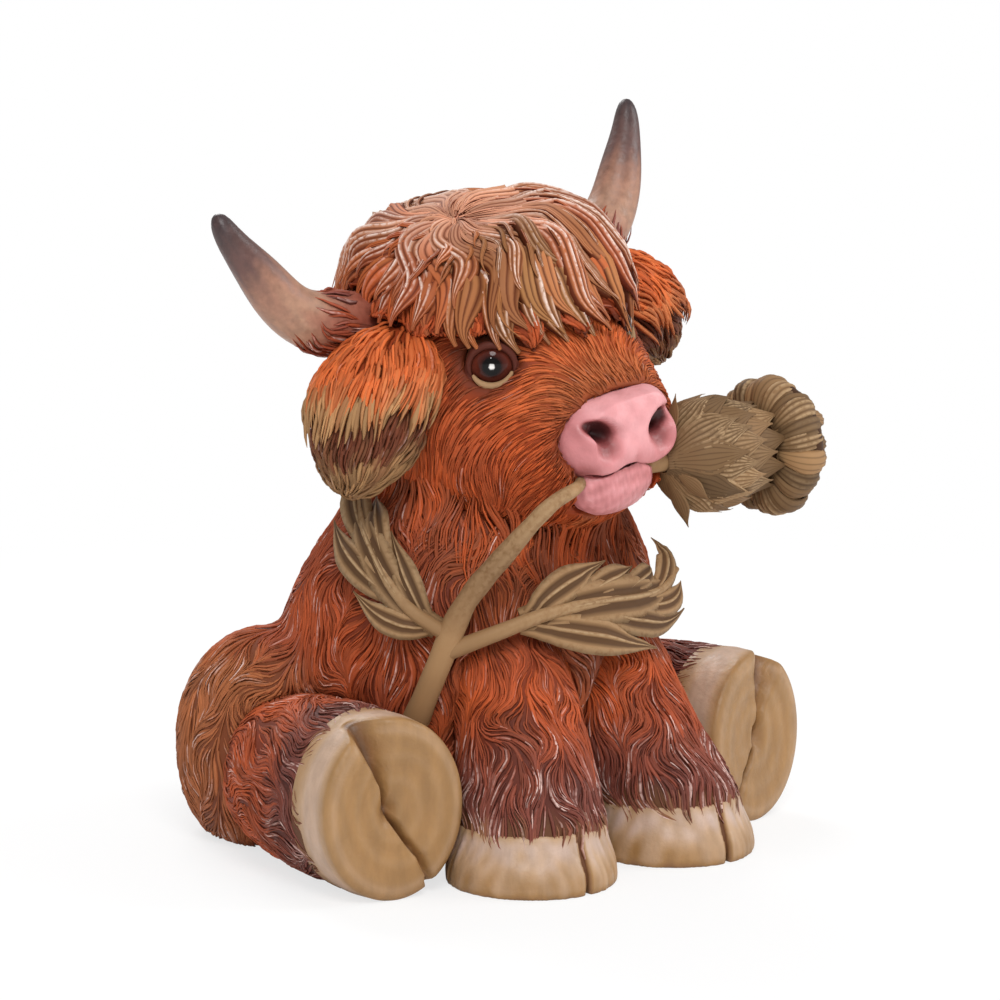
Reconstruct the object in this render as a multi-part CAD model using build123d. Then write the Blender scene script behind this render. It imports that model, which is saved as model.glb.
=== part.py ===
from build123d import *
import math
import os

# Seated highland calf ornament with a thistle in its mouth, cast in resin as separate parts
# that are pinned and glued together.
# Millimetres. +Z is up, the calf faces -Y and its right side is -X.
# The origin is on the floor, in the calf's middle plane, under its belly.
# Lists of rings and points are given for the left side where there are two of a piece.

# Joints between castings
GLUE_GAP = 0.15  # glue line between two bonded castings
PIN_FIT = 0.08  # room around a steel pin
FELT_THICKNESS = 0.8  # self-adhesive felt under the base
FELT_MARGIN = 6.0  # from the felt's edge to the torso's edge

# Torso rings: height, forward of the origin, half width, half depth
TORSO_RINGS = [
    (0.0, -8.0, 42.0, 38.0),
    (10.0, -8.0, 45.0, 40.0),
    (26.0, -5.0, 45.5, 42.0),
    (42.0, 1.0, 43.5, 42.0),
    (56.0, 4.5, 43.0, 37.0),
    (68.0, 6.5, 38.5, 31.5),
    (80.0, 8.0, 30.5, 25.5),
    (90.0, 9.0, 15.0, 14.0),
]
# Haunch rings: forward, out, above the floor, half width, half height
HAUNCH_RINGS = [
    (-44.0, 38.0, 19.0, 5.0, 9.0),
    (-40.0, 39.0, 20.0, 11.0, 18.0),
    (-30.0, 40.0, 21.0, 16.5, 25.0),
    (-18.0, 40.0, 21.0, 18.0, 27.5),
    (-6.0, 39.0, 20.0, 15.0, 23.0),
    (2.0, 38.0, 19.0, 8.0, 14.0),
]

# Front legs and hooves: height, out, forward, half width, half depth
FRONT_HOOF_LINE = 13.0
FRONT_LEG_RINGS = [
    (62.0, 12.0, 16.0, 6.0, 7.0),
    (56.0, 13.0, 23.0, 11.0, 12.0),
    (45.0, 14.5, 31.5, 13.0, 14.0),
    (32.0, 16.0, 38.0, 13.8, 14.6),
    (21.0, 18.5, 43.5, 15.0, 15.5),
    (FRONT_HOOF_LINE, 20.3, 46.5, 16.0, 16.3),
]
FRONT_HOOF_RINGS = [
    (FRONT_HOOF_LINE - GLUE_GAP, 20.3, 46.5, 16.0, 16.3),
    (8.0, 20.7, 47.0, 17.0, 17.2),
    (3.0, 21.0, 47.5, 18.2, 18.4),
    (0.0, 21.0, 47.5, 18.0, 18.2),
]
FRONT_CLEFT_WIDTH = 1.6
FRONT_CLEFT_DEPTH = 9.0

# Hind legs lie on the floor with the soles to the front
HIND_HIP = (45.0, -10.0, 18.5)
HIND_SOLE = (54.5, 42.0, 19.6)
HIND_HOOF_LENGTH = 13.0
HIND_LEG_RADII = [(14.0, 16.0), (17.0, 18.5), (17.5, 19.6), (17.0, 19.6)]
HIND_HOOF_RADII = [(17.0, 19.6), (17.2, 19.8), (16.0, 19.3)]
HIND_CLEFT_WIDTH = 2.0
HIND_CLEFT_DEPTH = 5.0

# Head: place, then nod, tilt to the right shoulder and turn in degrees
HEAD_CENTRE = (0.0, -9.3, 106.0)
HEAD_ANGLES = (2.0, -9.5, 0.0)
# Rings in the head: forward of its centre, out, above it, half width, half height
SKULL_RINGS = [
    (-31.0, 0.0, -2.0, 6.0, 7.0),
    (-28.0, 0.0, -2.0, 15.0, 17.0),
    (-20.0, 0.0, -3.0, 25.0, 27.0),
    (-6.0, 0.0, -4.0, 32.0, 33.5),
    (8.0, 0.0, -4.0, 33.0, 34.0),
    (20.0, 0.0, -5.5, 28.5, 30.0),
    (31.0, 0.0, -8.5, 22.5, 22.5),
    (39.0, 0.0, -10.5, 18.5, 16.5),
    (43.5, 0.0, -11.5, 15.0, 13.0),
]
MUZZLE_RINGS = [
    (34.0, 0.0, -8.0, 12.5, 7.5),
    (39.0, 0.0, -8.0, 15.8, 8.8),
    (43.5, 0.0, -8.0, 15.8, 8.8),
    (46.5, 0.0, -7.8, 13.5, 7.6),
    (48.5, 0.0, -7.6, 9.5, 5.0),
]
LIP_RINGS = [
    (32.0, -1.5, -20.5, 8.0, 4.0),
    (37.0, -1.5, -20.8, 10.5, 5.6),
    (41.0, -1.5, -21.0, 10.5, 5.6),
    (44.0, -1.5, -20.6, 8.0, 4.2),
    (45.5, -1.5, -20.2, 5.0, 2.6),
]
NOSTRIL_PLACE = (8.8, 48.2, -6.8)
NOSTRIL_RADIUS = 2.6

# Eyes: out, forward and above the head's centre
EYE_PLACE = (17.8, 23.0, 9.4)
EYE_RADIUS = 5.8

# Horns and ears: out, forward and above the head's centre, with the radii at each point
HORN_POINTS = [
    (18.5, -6.0, 14.9),
    (23.0, -6.0, 16.0),
    (35.2, -6.0, 19.0),
    (44.3, -6.5, 22.2),
    (50.3, -7.5, 28.2),
    (54.9, -9.0, 36.0),
    (58.2, -10.5, 42.0),
    (60.0, -11.6, 46.6),
    (60.6, -12.0, 48.4),
]
HORN_RADII = [7.6, 7.6, 7.0, 6.4, 5.6, 4.5, 3.3, 2.2, 1.0]
EAR_POINTS = [
    (22.0, 4.0, 10.0),
    (28.0, 5.0, 10.0),
    (35.5, 5.0, 7.5),
    (42.0, 5.0, 2.0),
    (45.5, 5.0, -5.0),
    (45.5, 5.0, -10.5),
    (45.0, 5.0, -12.5),
]
EAR_RADII = [(5.0, 5.0), (9.0, 8.0), (12.5, 10.5), (14.0, 11.0), (12.5, 9.5), (8.0, 6.0), (4.0, 3.0)]

# Forelock rings: above the head's centre, radius, sweep of the locks round the head in degrees
FORELOCK_FORWARD = 0.5
FORELOCK_RINGS = [
    (15.5, 33.6, 0.0),
    (20.0, 33.6, 2.0),
    (26.0, 31.0, 6.0),
    (32.5, 25.0, 11.0),
    (37.3, 16.0, 15.0),
    (39.5, 7.0, 17.0),
]
LOCKS = 16  # main locks round the forelock
LOCK_HEIGHT = 2.4  # of a lock over the grooves beside it, on the widest ring
LOCK_POINTS = 4  # that draw one lock on a ring
# Lock tips over the brow: above the head's centre, from the forelock's middle, half width, half thickness
LOCK_TIP_RINGS = [(24.0, 28.5, 4.6, 3.0), (18.0, 31.6, 5.6, 3.0), (13.5, 32.9, 4.0, 2.2), (10.0, 33.0, 1.2, 1.0)]
LOCK_TIP_SPREAD = 30.0  # degrees to each side of the middle plane with tips

# Tail: out, forward and above the floor
TAIL_POINTS = [
    (0.0, -40.0, 34.0),
    (2.0, -47.0, 32.0),
    (6.0, -52.5, 22.0),
    (13.0, -54.0, 11.5),
    (23.0, -52.5, 7.5),
    (32.0, -48.5, 7.0),
    (36.0, -45.5, 6.5),
]
TAIL_RADII = [4.4, 4.4, 4.0, 4.0, 5.6, 5.0, 1.6]

# Thistle stem: out, forward and above the floor up to the mouth, then the mouth corner in the head
STEM_POINTS = [
    (-36.4, 27.3, 34.6),
    (-34.4, 32.4, 46.9),
    (-30.6, 36.8, 60.5),
    (-24.9, 45.0, 73.0),
    (-20.0, 52.4, 82.6),
]
MOUTH_CORNER = (-16.7, 44.0, -15.8)
STEM_RADIUS = 2.3
STEM_BEND_SHARE = 0.45  # of the shorter run, taken by each rounded corner
MOUTH_ROOM = 0.4  # between the stem and the channel that the lips leave for it
STEM_END_GAP = 0.4  # glue between the stem's square end and the bulb, which sits at an angle to it
# Bulb and flower: base in the head, fall below the line of the mouth, profiles as (along, radius)
THISTLE_BASE = (13.0, 42.0, -18.2)
THISTLE_DROOP = 8.5
BULB_PROFILE = [(0.0, 3.6), (2.5, 8.0), (8.0, 12.2), (15.0, 12.6), (23.0, 9.8), (29.0, 8.6)]
FLOWER_PROFILE = [(0.0, 8.6), (-0.8, 12.0), (1.0, 15.2), (4.0, 16.2), (7.0, 15.0), (9.8, 11.5), (11.2, 7.0)]
# Leaves: points from the stem to the tip, half width, half thickness, lobes on each edge
CHEST_LEAF_POINTS = [
    (-33.0, 34.0, 50.0),
    (-24.5, 40.5, 54.0),
    (-14.5, 44.0, 57.2),
    (-2.0, 46.0, 58.8),
    (10.0, 45.5, 58.6),
    (19.5, 43.0, 59.0),
    (27.0, 39.5, 62.5),
]
CHEST_LEAF_SIZE = (9.5, 1.6, 3)
CHEST_LEAF_FACES = (0.0, -1.0, 0.25)
NECK_LEAF_POINTS = [
    (-33.4, 33.2, 54.0),
    (-37.6, 28.0, 58.5),
    (-39.6, 23.4, 64.0),
    (-39.2, 17.5, 70.0),
    (-36.8, 11.0, 75.5),
    (-33.5, 6.0, 79.0),
]
NECK_LEAF_SIZE = (6.0, 1.5, 2)
NECK_LEAF_FACES = (-0.85, -0.45, 0.3)
LEAF_RINGS = 13
LEAF_END_WIDTH = 0.14  # share of the half width left at the stalk and the tip
LEAF_END_THICKNESS = 0.5  # share of the half thickness left there
LOBE_DEPTH = 0.35  # share of the half width cut away between two lobes

# Steel pins: radius and length, then the middle of the pin
NECK_PIN = (3.0, 44.0)
NECK_PIN_PLACE = (0.0, 9.3, 74.0)
HORN_PIN = (1.5, 16.0)
EAR_PIN = (1.5, 16.0)
EAR_PIN_PLACE = (32.0, 5.0, 8.0)  # in the head
FRONT_LEG_PIN = (2.0, 22.0)
FRONT_LEG_PIN_PLACE = (14.5, 18.0, 46.0)
HIND_LEG_PIN = (2.5, 26.0)
THISTLE_PIN = (0.8, 40.0)
THISTLE_PIN_START = -6.0  # along the thistle from its base

RING_POINTS = 8
FLOOR_SIZE = 400.0
LEFT, RIGHT = 1, -1
SIDES = {LEFT: "left", RIGHT: "right"}
ALONG_X, ALONG_Y, ALONG_Z = (1, 0, 0), (0, 1, 0), (0, 0, 1)


def place(out, forward, above, side=LEFT):
    """A point from sizes measured outward, forward and up."""
    return Vector(side * out, -forward, above)


def ring(plane, half_width, half_height):
    """A closed oval on a plane, drawn as one smooth curve."""
    points = []
    for step in range(RING_POINTS):
        angle = math.tau * step / RING_POINTS
        local = (half_width * math.cos(angle), half_height * math.sin(angle), 0)
        points.append(plane.from_local_coords(local))
    return Face(Wire([Edge.make_spline(points, periodic=True)]))


def upright_form(rings, grow=0.0, side=LEFT):
    """A loft through level ovals."""
    sections = []
    for height, out, forward, half_width, half_depth in rings:
        plane = Plane(place(out, forward, height, side), x_dir=(1, 0, 0), z_dir=(0, 0, 1))
        sections.append(ring(plane, half_width + grow, half_depth + grow))
    return loft(sections)


def forward_form(rings, grow=0.0, side=LEFT):
    """A loft through ovals that face forward, longer by the growth at both ends."""
    sections = []
    last = len(rings) - 1
    for index, (forward, out, above, half_width, half_height) in enumerate(rings):
        stretch = grow * ((index == last) - (index == 0))
        plane = Plane(place(out, forward + stretch, above, side), x_dir=(1, 0, 0), z_dir=(0, -1, 0))
        sections.append(ring(plane, half_width + grow, half_height + grow))
    return loft(sections)


def limb(points, radii, grow=0.0, across=(0, 1, 0)):
    """A loft along a bent line, with a radius or a (half width, half height along across) at each point."""
    sections = []
    last = len(points) - 1
    for index, (point, radius) in enumerate(zip(points, radii)):
        axis = (points[min(index + 1, last)] - points[max(index - 1, 0)]).normalized()
        if index in (0, last):
            point = point + axis * (grow if index else -grow)
        half_width, half_height = radius if isinstance(radius, tuple) else (radius, radius)
        plane = Plane(point, x_dir=axis.cross(Vector(*across)), z_dir=axis)
        sections.append(ring(plane, half_width + grow, half_height + grow))
    return loft(sections)


def between(start, end, count):
    """Evenly spaced points from start to end."""
    return [start + (end - start) * (index / (count - 1)) for index in range(count)]


def turned(profile):
    """A solid of revolution about Z from a profile of (along, radius)."""
    curve = Spline(*[(radius, 0, along) for along, radius in profile])
    start, end = curve @ 0, curve @ 1
    foot, top = (0, 0, start.Z), (0, 0, end.Z)
    return revolve(make_face([curve, Line(end, top), Line(top, foot), Line(foot, start)]), Axis.Z)


def locked_ring(plane, radius, sweep):
    """A closed ring that waves in and out once for each lock, turned by the sweep."""
    _, widest, _ = FORELOCK_RINGS[0]
    height = LOCK_HEIGHT * radius / widest
    count = LOCKS * LOCK_POINTS
    points = []
    for step in range(count):
        angle = math.tau * step / count
        reach = radius + height / 2 * math.cos(LOCKS * (angle - math.radians(sweep)))
        points.append(plane.from_local_coords((reach * math.cos(angle), reach * math.sin(angle), 0)))
    return Face(Wire([Edge.make_spline(points, periodic=True)]))


def leaf(points, size, faces):
    """A thin lobed blade along a curve, facing the way given."""
    half_width, half_thickness, lobes = size
    spine = Spline(*[place(*point) for point in points])
    steps = [index / (LEAF_RINGS - 1) for index in range(LEAF_RINGS)]
    radii = []
    for step in steps:
        notch = LOBE_DEPTH * (0.5 + 0.5 * math.cos(math.tau * lobes * step))
        share = max(math.sin(math.pi * step) * (1 - notch), LEAF_END_WIDTH)
        radii.append((half_width * share, half_thickness * max(share, LEAF_END_THICKNESS)))
    return limb([spine @ step for step in steps], radii, across=faces)


def pin(middle, axis, size, fit=0.0):
    """A steel pin, or its hole where a fit is given."""
    radius, length = size
    return Plane(middle, z_dir=axis).location * Cylinder(radius + fit, length + 2 * fit)


def cut(piece, *tools):
    """The piece with every tool taken away."""
    for tool in tools:
        piece = piece - tool
    return piece


HEAD = Location(HEAD_CENTRE, HEAD_ANGLES)
FLOOR = Pos(0, 0, -FLOOR_SIZE / 2) * Box(FLOOR_SIZE, FLOOR_SIZE, FLOOR_SIZE)


def torso_form(grow=0.0):
    rings = [(height, 0, forward, width, depth) for height, forward, width, depth in TORSO_RINGS]
    body = upright_form(rings, grow)
    for side in SIDES:
        body = body + forward_form(HAUNCH_RINGS, grow, side)
    return body


def hind_line(side):
    """Hip, hoof line and middle of the sole of a hind leg."""
    hip, sole = place(*HIND_HIP, side), place(*HIND_SOLE, side)
    return hip, sole - (sole - hip).normalized() * HIND_HOOF_LENGTH, sole


def hind_leg_form(side, grow=0.0):
    hip, hoof_line, _ = hind_line(side)
    points = between(hip, hoof_line, len(HIND_LEG_RADII))
    return limb(points, HIND_LEG_RADII, grow, across=ALONG_Z)


def hind_hoof(side):
    hip, hoof_line, sole = hind_line(side)
    axis = (sole - hip).normalized()
    points = between(hoof_line + axis * GLUE_GAP, sole, len(HIND_HOOF_RADII))
    hoof = limb(points, HIND_HOOF_RADII, across=ALONG_Z)
    cleft = Box(HIND_CLEFT_WIDTH, FLOOR_SIZE, 2 * HIND_CLEFT_DEPTH)
    return cut(hoof, Plane(sole, x_dir=axis.cross(Vector(*ALONG_Z)), z_dir=axis).location * cleft, FLOOR)


def front_leg_form(side, grow=0.0):
    return upright_form(FRONT_LEG_RINGS, grow, side)


def front_hoof(side):
    _, out, forward, _, half_depth = FRONT_HOOF_RINGS[-1]
    cleft = Box(FRONT_CLEFT_WIDTH, 2 * FRONT_CLEFT_DEPTH, 4 * FRONT_HOOF_LINE)
    return upright_form(FRONT_HOOF_RINGS, 0, side) - Pos(place(out, forward + half_depth, 0, side)) * cleft


def skull_form(grow=0.0):
    return HEAD * forward_form(SKULL_RINGS, grow)


def muzzle_form(grow=0.0):
    return HEAD * forward_form(MUZZLE_RINGS, grow)


def lip_form(grow=0.0):
    return HEAD * forward_form(LIP_RINGS, grow)


def horn_form(side, grow=0.0):
    return HEAD * limb([place(*point, side) for point in HORN_POINTS], HORN_RADII, grow)


def ear_form(side, grow=0.0):
    return HEAD * limb([place(*point, side) for point in EAR_POINTS], EAR_RADII, grow)


def eye_form(side, grow=0.0):
    return HEAD * Pos(place(*EYE_PLACE, side)) * Sphere(EYE_RADIUS + grow)


def forelock_form():
    """A cap of swept locks, with the tips of the front ones over the brow."""
    sections = []
    for above, radius, sweep in FORELOCK_RINGS:
        plane = Plane(place(0, FORELOCK_FORWARD, above), x_dir=ALONG_X, z_dir=ALONG_Z)
        sections.append(locked_ring(plane, radius, sweep))
    form = loft(sections)
    for index in range(LOCKS):
        turn = 360 / LOCKS * index - 180
        if abs(turn) <= LOCK_TIP_SPREAD:
            ahead = Vector(*place(0, 1, 0)).rotate(Axis.Z, turn)
            points = [place(0, FORELOCK_FORWARD, above) + ahead * reach for above, reach, _, _ in LOCK_TIP_RINGS]
            radii = [(half_width, half_thickness) for _, _, half_width, half_thickness in LOCK_TIP_RINGS]
            form = form + limb(points, radii, across=tuple(ahead))
    return HEAD * form


def nostril(side):
    return HEAD * Pos(place(*NOSTRIL_PLACE, side)) * Sphere(NOSTRIL_RADIUS)


THISTLE_AXIS = Vector(math.cos(math.radians(THISTLE_DROOP)), 0, -math.sin(math.radians(THISTLE_DROOP)))
THISTLE = HEAD * Plane(place(*THISTLE_BASE), z_dir=THISTLE_AXIS).location
MOUTH_START = (HEAD * Location(place(*MOUTH_CORNER))).position
MOUTH_END = (HEAD * Location(place(*THISTLE_BASE) - THISTLE_AXIS * STEM_END_GAP)).position


def stem_form(grow=0.0):
    """A round stem on straight runs with rounded corners, from the chest through the mouth to the bulb."""
    points = [place(*point) for point in STEM_POINTS] + [MOUTH_START, MOUTH_END]
    bends = []
    for before, corner, after in zip(points, points[1:], points[2:]):
        shorter = min((corner - before).length, (after - corner).length)
        half_turn = math.radians((corner - before).get_angle(after - corner)) / 2
        bends.append(STEM_BEND_SHARE * shorter / math.tan(half_turn))
    path = FilletPolyline(*points, radius=bends)
    return sweep(Plane(path @ 0, z_dir=path % 0) * Circle(STEM_RADIUS + grow), path)


def mouth_channel():
    """The round way that the lips and the skull leave for the stem, open past both of its ends."""
    length = (MOUTH_END - MOUTH_START).length + 4 * STEM_RADIUS
    middle = (MOUTH_START + MOUTH_END) / 2
    return pin(middle, MOUTH_END - MOUTH_START, (STEM_RADIUS, length), MOUTH_ROOM)


def neck_pin(fit=0.0):
    return pin(place(*NECK_PIN_PLACE), ALONG_Z, NECK_PIN, fit)


def horn_pin(side, fit=0.0):
    root, after = place(*HORN_POINTS[0], side), place(*HORN_POINTS[1], side)
    return HEAD * pin(root, after - root, HORN_PIN, fit)


def ear_pin(side, fit=0.0):
    return HEAD * pin(place(*EAR_PIN_PLACE, side), ALONG_X, EAR_PIN, fit)


def front_leg_pin(side, fit=0.0):
    return pin(place(*FRONT_LEG_PIN_PLACE, side), ALONG_Y, FRONT_LEG_PIN, fit)


def hind_leg_pin(side, fit=0.0):
    hip, _, sole = hind_line(side)
    return pin(hip, sole - hip, HIND_LEG_PIN, fit)


def thistle_pin(fit=0.0):
    radius, length = THISTLE_PIN
    return THISTLE * Pos(0, 0, THISTLE_PIN_START + length / 2) * Cylinder(radius + fit, length + 2 * fit)


# The room that each casting takes, with the glue line around it
torso_room = torso_form(GLUE_GAP)
skull_room = skull_form(GLUE_GAP)
muzzle_room = muzzle_form(GLUE_GAP)
stem_room = stem_form(GLUE_GAP)
mouth = mouth_channel()
leg_rooms = [front_leg_form(side, GLUE_GAP) for side in SIDES]
hind_rooms = [hind_leg_form(side, GLUE_GAP) for side in SIDES]
horn_rooms = {side: horn_form(side, GLUE_GAP) for side in SIDES}

pieces = {}

# Body castings
torso = cut(torso_form(), Pos(0, 0, FELT_THICKNESS) * FLOOR, skull_room, *leg_rooms, *hind_rooms)
torso = cut(torso, neck_pin(PIN_FIT))
for side, name in SIDES.items():
    torso = cut(torso, front_leg_pin(side, PIN_FIT), hind_leg_pin(side, PIN_FIT))
    pieces[name + "_front_leg"] = cut(front_leg_form(side), front_leg_pin(side, PIN_FIT))
    pieces[name + "_front_hoof"] = front_hoof(side)
    pieces[name + "_hind_leg"] = cut(hind_leg_form(side), hind_leg_pin(side, PIN_FIT), FLOOR)
    pieces[name + "_hind_hoof"] = hind_hoof(side)
pieces["torso"] = torso
pieces["tail"] = cut(limb([place(*point) for point in TAIL_POINTS], TAIL_RADII, across=ALONG_X), torso_room)
_, felt_forward, felt_width, felt_depth = TORSO_RINGS[0]
felt_outline = ring(Plane(place(0, felt_forward, 0)), felt_width - FELT_MARGIN, felt_depth - FELT_MARGIN)
pieces["base_felt"] = extrude(felt_outline, FELT_THICKNESS)

# Head castings
head = cut(skull_form(), muzzle_room, lip_form(GLUE_GAP), mouth, neck_pin(PIN_FIT))
forelock = cut(forelock_form(), skull_room)
for side, name in SIDES.items():
    eye_room, ear_room = eye_form(side, GLUE_GAP), ear_form(side, GLUE_GAP)
    head = cut(head, eye_room, horn_rooms[side], horn_pin(side, PIN_FIT), ear_pin(side, PIN_FIT))
    forelock = cut(forelock, eye_room, horn_rooms[side], ear_room)
    pieces[name + "_horn"] = cut(horn_form(side), horn_pin(side, PIN_FIT))
    pieces[name + "_ear"] = cut(ear_form(side), skull_room, horn_rooms[side], ear_pin(side, PIN_FIT))
    pieces[name + "_eye"] = eye_form(side)
pieces["head"] = head
pieces["forelock"] = forelock
pieces["muzzle"] = cut(muzzle_form(), mouth, nostril(LEFT), nostril(RIGHT))
pieces["lower_lip"] = cut(lip_form(), muzzle_room, mouth)

# Thistle
pieces["thistle_stem"] = cut(stem_form(), thistle_pin(PIN_FIT))
bulb = THISTLE * turned(BULB_PROFILE)
pieces["thistle_bulb"] = cut(bulb, skull_room, muzzle_room, thistle_pin(PIN_FIT))
bulb_length = BULB_PROFILE[-1][0]
flower = THISTLE * Pos(0, 0, bulb_length + GLUE_GAP) * turned(FLOWER_PROFILE)
pieces["thistle_flower"] = cut(flower, thistle_pin(PIN_FIT))
chest_leaf = leaf(CHEST_LEAF_POINTS, CHEST_LEAF_SIZE, CHEST_LEAF_FACES)
pieces["chest_leaf"] = cut(chest_leaf, stem_room, torso_room, *leg_rooms)
neck_leaf = leaf(NECK_LEAF_POINTS, NECK_LEAF_SIZE, NECK_LEAF_FACES)
pieces["neck_leaf"] = cut(neck_leaf, stem_room, torso_room)

# Steel pins
pieces["neck_pin"] = neck_pin()
pieces["thistle_pin"] = thistle_pin()
pieces["horn_pins"] = Compound(children=[horn_pin(side) for side in SIDES])
pieces["ear_pins"] = Compound(children=[ear_pin(side) for side in SIDES])
pieces["front_leg_pins"] = Compound(children=[front_leg_pin(side) for side in SIDES])
pieces["hind_leg_pins"] = Compound(children=[hind_leg_pin(side) for side in SIDES])

os.makedirs("parts", exist_ok=True)
for name, piece in pieces.items():
    export_step(piece, f"parts/{name}.step")
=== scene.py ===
import math
import bmesh
import bpy
import numpy as np
from mathutils import Matrix, Vector
from mathutils.bvhtree import BVHTree


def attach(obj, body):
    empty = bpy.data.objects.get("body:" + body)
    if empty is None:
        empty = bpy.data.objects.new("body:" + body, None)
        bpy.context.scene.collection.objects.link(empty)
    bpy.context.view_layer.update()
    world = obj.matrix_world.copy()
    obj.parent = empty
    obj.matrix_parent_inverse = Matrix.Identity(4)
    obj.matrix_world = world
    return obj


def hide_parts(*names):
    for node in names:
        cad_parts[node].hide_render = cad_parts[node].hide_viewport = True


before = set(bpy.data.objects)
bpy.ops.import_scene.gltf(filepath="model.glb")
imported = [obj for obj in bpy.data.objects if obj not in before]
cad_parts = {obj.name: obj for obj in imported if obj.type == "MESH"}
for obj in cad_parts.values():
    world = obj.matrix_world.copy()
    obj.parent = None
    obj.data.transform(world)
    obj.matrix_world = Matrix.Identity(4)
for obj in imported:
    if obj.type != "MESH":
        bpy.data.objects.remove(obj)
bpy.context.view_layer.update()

mm = 0.001
scene = bpy.context.scene
scene.view_settings.view_transform = "Standard"

# the calf faces -Y, its left is +X; head sizes are (out, forward, above) from the head's centre, in mm
headPlace = {"centre": np.array((0.0, -9.3, 106.0)), "nod": 2.0, "tilt": -9.5}
headAxes = np.array(Matrix.Rotation(math.radians(headPlace["nod"]), 3, "X")
                    @ Matrix.Rotation(math.radians(headPlace["tilt"]), 3, "Y"))
sides = {"left": 1, "right": -1}


def bodyPoint(out, forward, above, side=1):
    return np.array((side * out, -forward, above))


def headTurn(out, forward, above, side=1):
    return headAxes @ bodyPoint(out, forward, above, side)


def headPoint(out, forward, above, side=1):
    return headTurn(out, forward, above, side) + headPlace["centre"]


def inHead(points):
    local = (points - headPlace["centre"]) @ headAxes
    return local[:, 0], -local[:, 1], local[:, 2]


def fromHead(out, forward, above):
    return np.column_stack([out, -forward, above]) @ headAxes.T + headPlace["centre"]


def unit(vectors):
    return vectors / np.maximum(np.linalg.norm(vectors, axis=-1, keepdims=True), 1e-9)


def squareTo(vectors, axes):
    return unit(vectors - axes * (vectors * axes).sum(-1, keepdims=True))


# 0 at the first bound, 1 at the second, which may be the lower one
def smoothStep(values, start, end):
    t = np.clip((values - start) / (end - start), 0, 1)
    return t * t * (3 - 2 * t)


# a smooth seeded wave through space, about -1 to 1
def waveField(points, wavelength, seed, count=7):
    draw = np.random.default_rng(seed)
    total = np.zeros(len(points))
    for _ in range(count):
        heading = unit(draw.normal(size=3)) * draw.uniform(0.7, 1.4) * math.tau / wavelength
        total += np.sin(points @ heading + draw.uniform(0, math.tau))
    return total / math.sqrt(count) * 0.9


# named waves, each a wavelength in mm and a seed
def patchesOf(points, waves):
    return {name: waveField(points, *wave) for name, wave in waves.items()}


# a smooth line through given points
def smoothLine(points, count):
    points = np.array(points, dtype=float)
    padded = np.vstack([2 * points[0] - points[1], points, 2 * points[-1] - points[-2]])
    places = np.linspace(0, len(points) - 1, count)
    cells = np.minimum(places.astype(int), len(points) - 2)
    t = (places - cells)[:, None]
    a, b, c, d = (padded[cells + i] for i in range(4))
    squared, cubed = 2 * a - 5 * b + 4 * c - d, 3 * b - a - 3 * c + d
    return 0.5 * (2 * b + (c - a) * t + squared * t ** 2 + cubed * t ** 3)


# share of the way along a line, at the place on it that is nearest to each point
def shareAlong(points, line):
    best = np.full(len(points), np.inf)
    share = np.zeros(len(points))
    lengths = np.linalg.norm(np.diff(line, axis=0), axis=1)
    starts = np.concatenate([[0], np.cumsum(lengths)])
    for index, (a, b) in enumerate(zip(line[:-1], line[1:])):
        t = np.clip(((points - a) @ (b - a)) / ((b - a) @ (b - a)), 0, 1)
        gap = np.linalg.norm(points - (a + t[:, None] * (b - a)), axis=1)
        near = gap < best
        best = np.where(near, gap, best)
        share = np.where(near, (starts[index] + t * lengths[index]) / starts[-1], share)
    return share


# that share, and the direction of hair that lies along the line
def followLine(points, normals, line):
    share = shareAlong(points, line)
    last = len(line) - 1
    headings = unit(np.gradient(line, axis=0))[np.clip((share * last).astype(int), 0, last)]
    return share, squareTo(headings, normals)


# meshes
def newPiece(name, mesh):
    obj = bpy.data.objects.new(name, mesh)
    scene.collection.objects.link(obj)
    return obj


def shadeSmooth(mesh):
    mesh.polygons.foreach_set("use_smooth", [True] * len(mesh.polygons))


def meshOf(name, points, faces):
    mesh = bpy.data.meshes.new(name)
    mesh.from_pydata([tuple(p) for p in points], [], faces)
    mesh.update()
    shadeSmooth(mesh)
    return mesh


def ringFaces(rows, columns):
    faces = []
    for r in range(rows - 1):
        for c in range(columns):
            a, b = r * columns + c, r * columns + (c + 1) % columns
            faces.append((a, b, b + columns, a + columns))
    return faces


# turns a piece with live modifiers into a plain mesh
def settle(obj):
    evaluated = obj.evaluated_get(bpy.context.evaluated_depsgraph_get())
    mesh = bpy.data.meshes.new_from_object(evaluated)
    obj.modifiers.clear()
    old = obj.data
    obj.data = mesh
    mesh.name = obj.name
    bpy.data.meshes.remove(old)
    shadeSmooth(mesh)


def readPoints(mesh):
    flat = np.empty(len(mesh.vertices) * 3)
    mesh.vertices.foreach_get("co", flat)
    return flat.reshape(-1, 3) / mm


def readNormals(mesh):
    flat = np.empty(len(mesh.vertices) * 3)
    mesh.vertex_normals.foreach_get("vector", flat)
    return flat.reshape(-1, 3)


def surface(obj):
    return readPoints(obj.data), readNormals(obj.data)


def writePoints(obj, points):
    obj.data.vertices.foreach_set("co", (points * mm).ravel())
    obj.data.update()


def setAttribute(mesh, name, values, kind="FLOAT"):
    fields = {"FLOAT": "value", "FLOAT_VECTOR": "vector", "FLOAT_COLOR": "color"}
    layer = mesh.attributes.get(name) or mesh.attributes.new(name, kind, "POINT")
    layer.data.foreach_set(fields[kind], np.ascontiguousarray(values, dtype=np.float32).ravel())


def setCoat(mesh, colours):
    colours = np.broadcast_to(colours, (len(mesh.vertices), 3))
    setAttribute(mesh, "coat", np.column_stack([colours, np.ones(len(colours))]), "FLOAT_COLOR")


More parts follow.
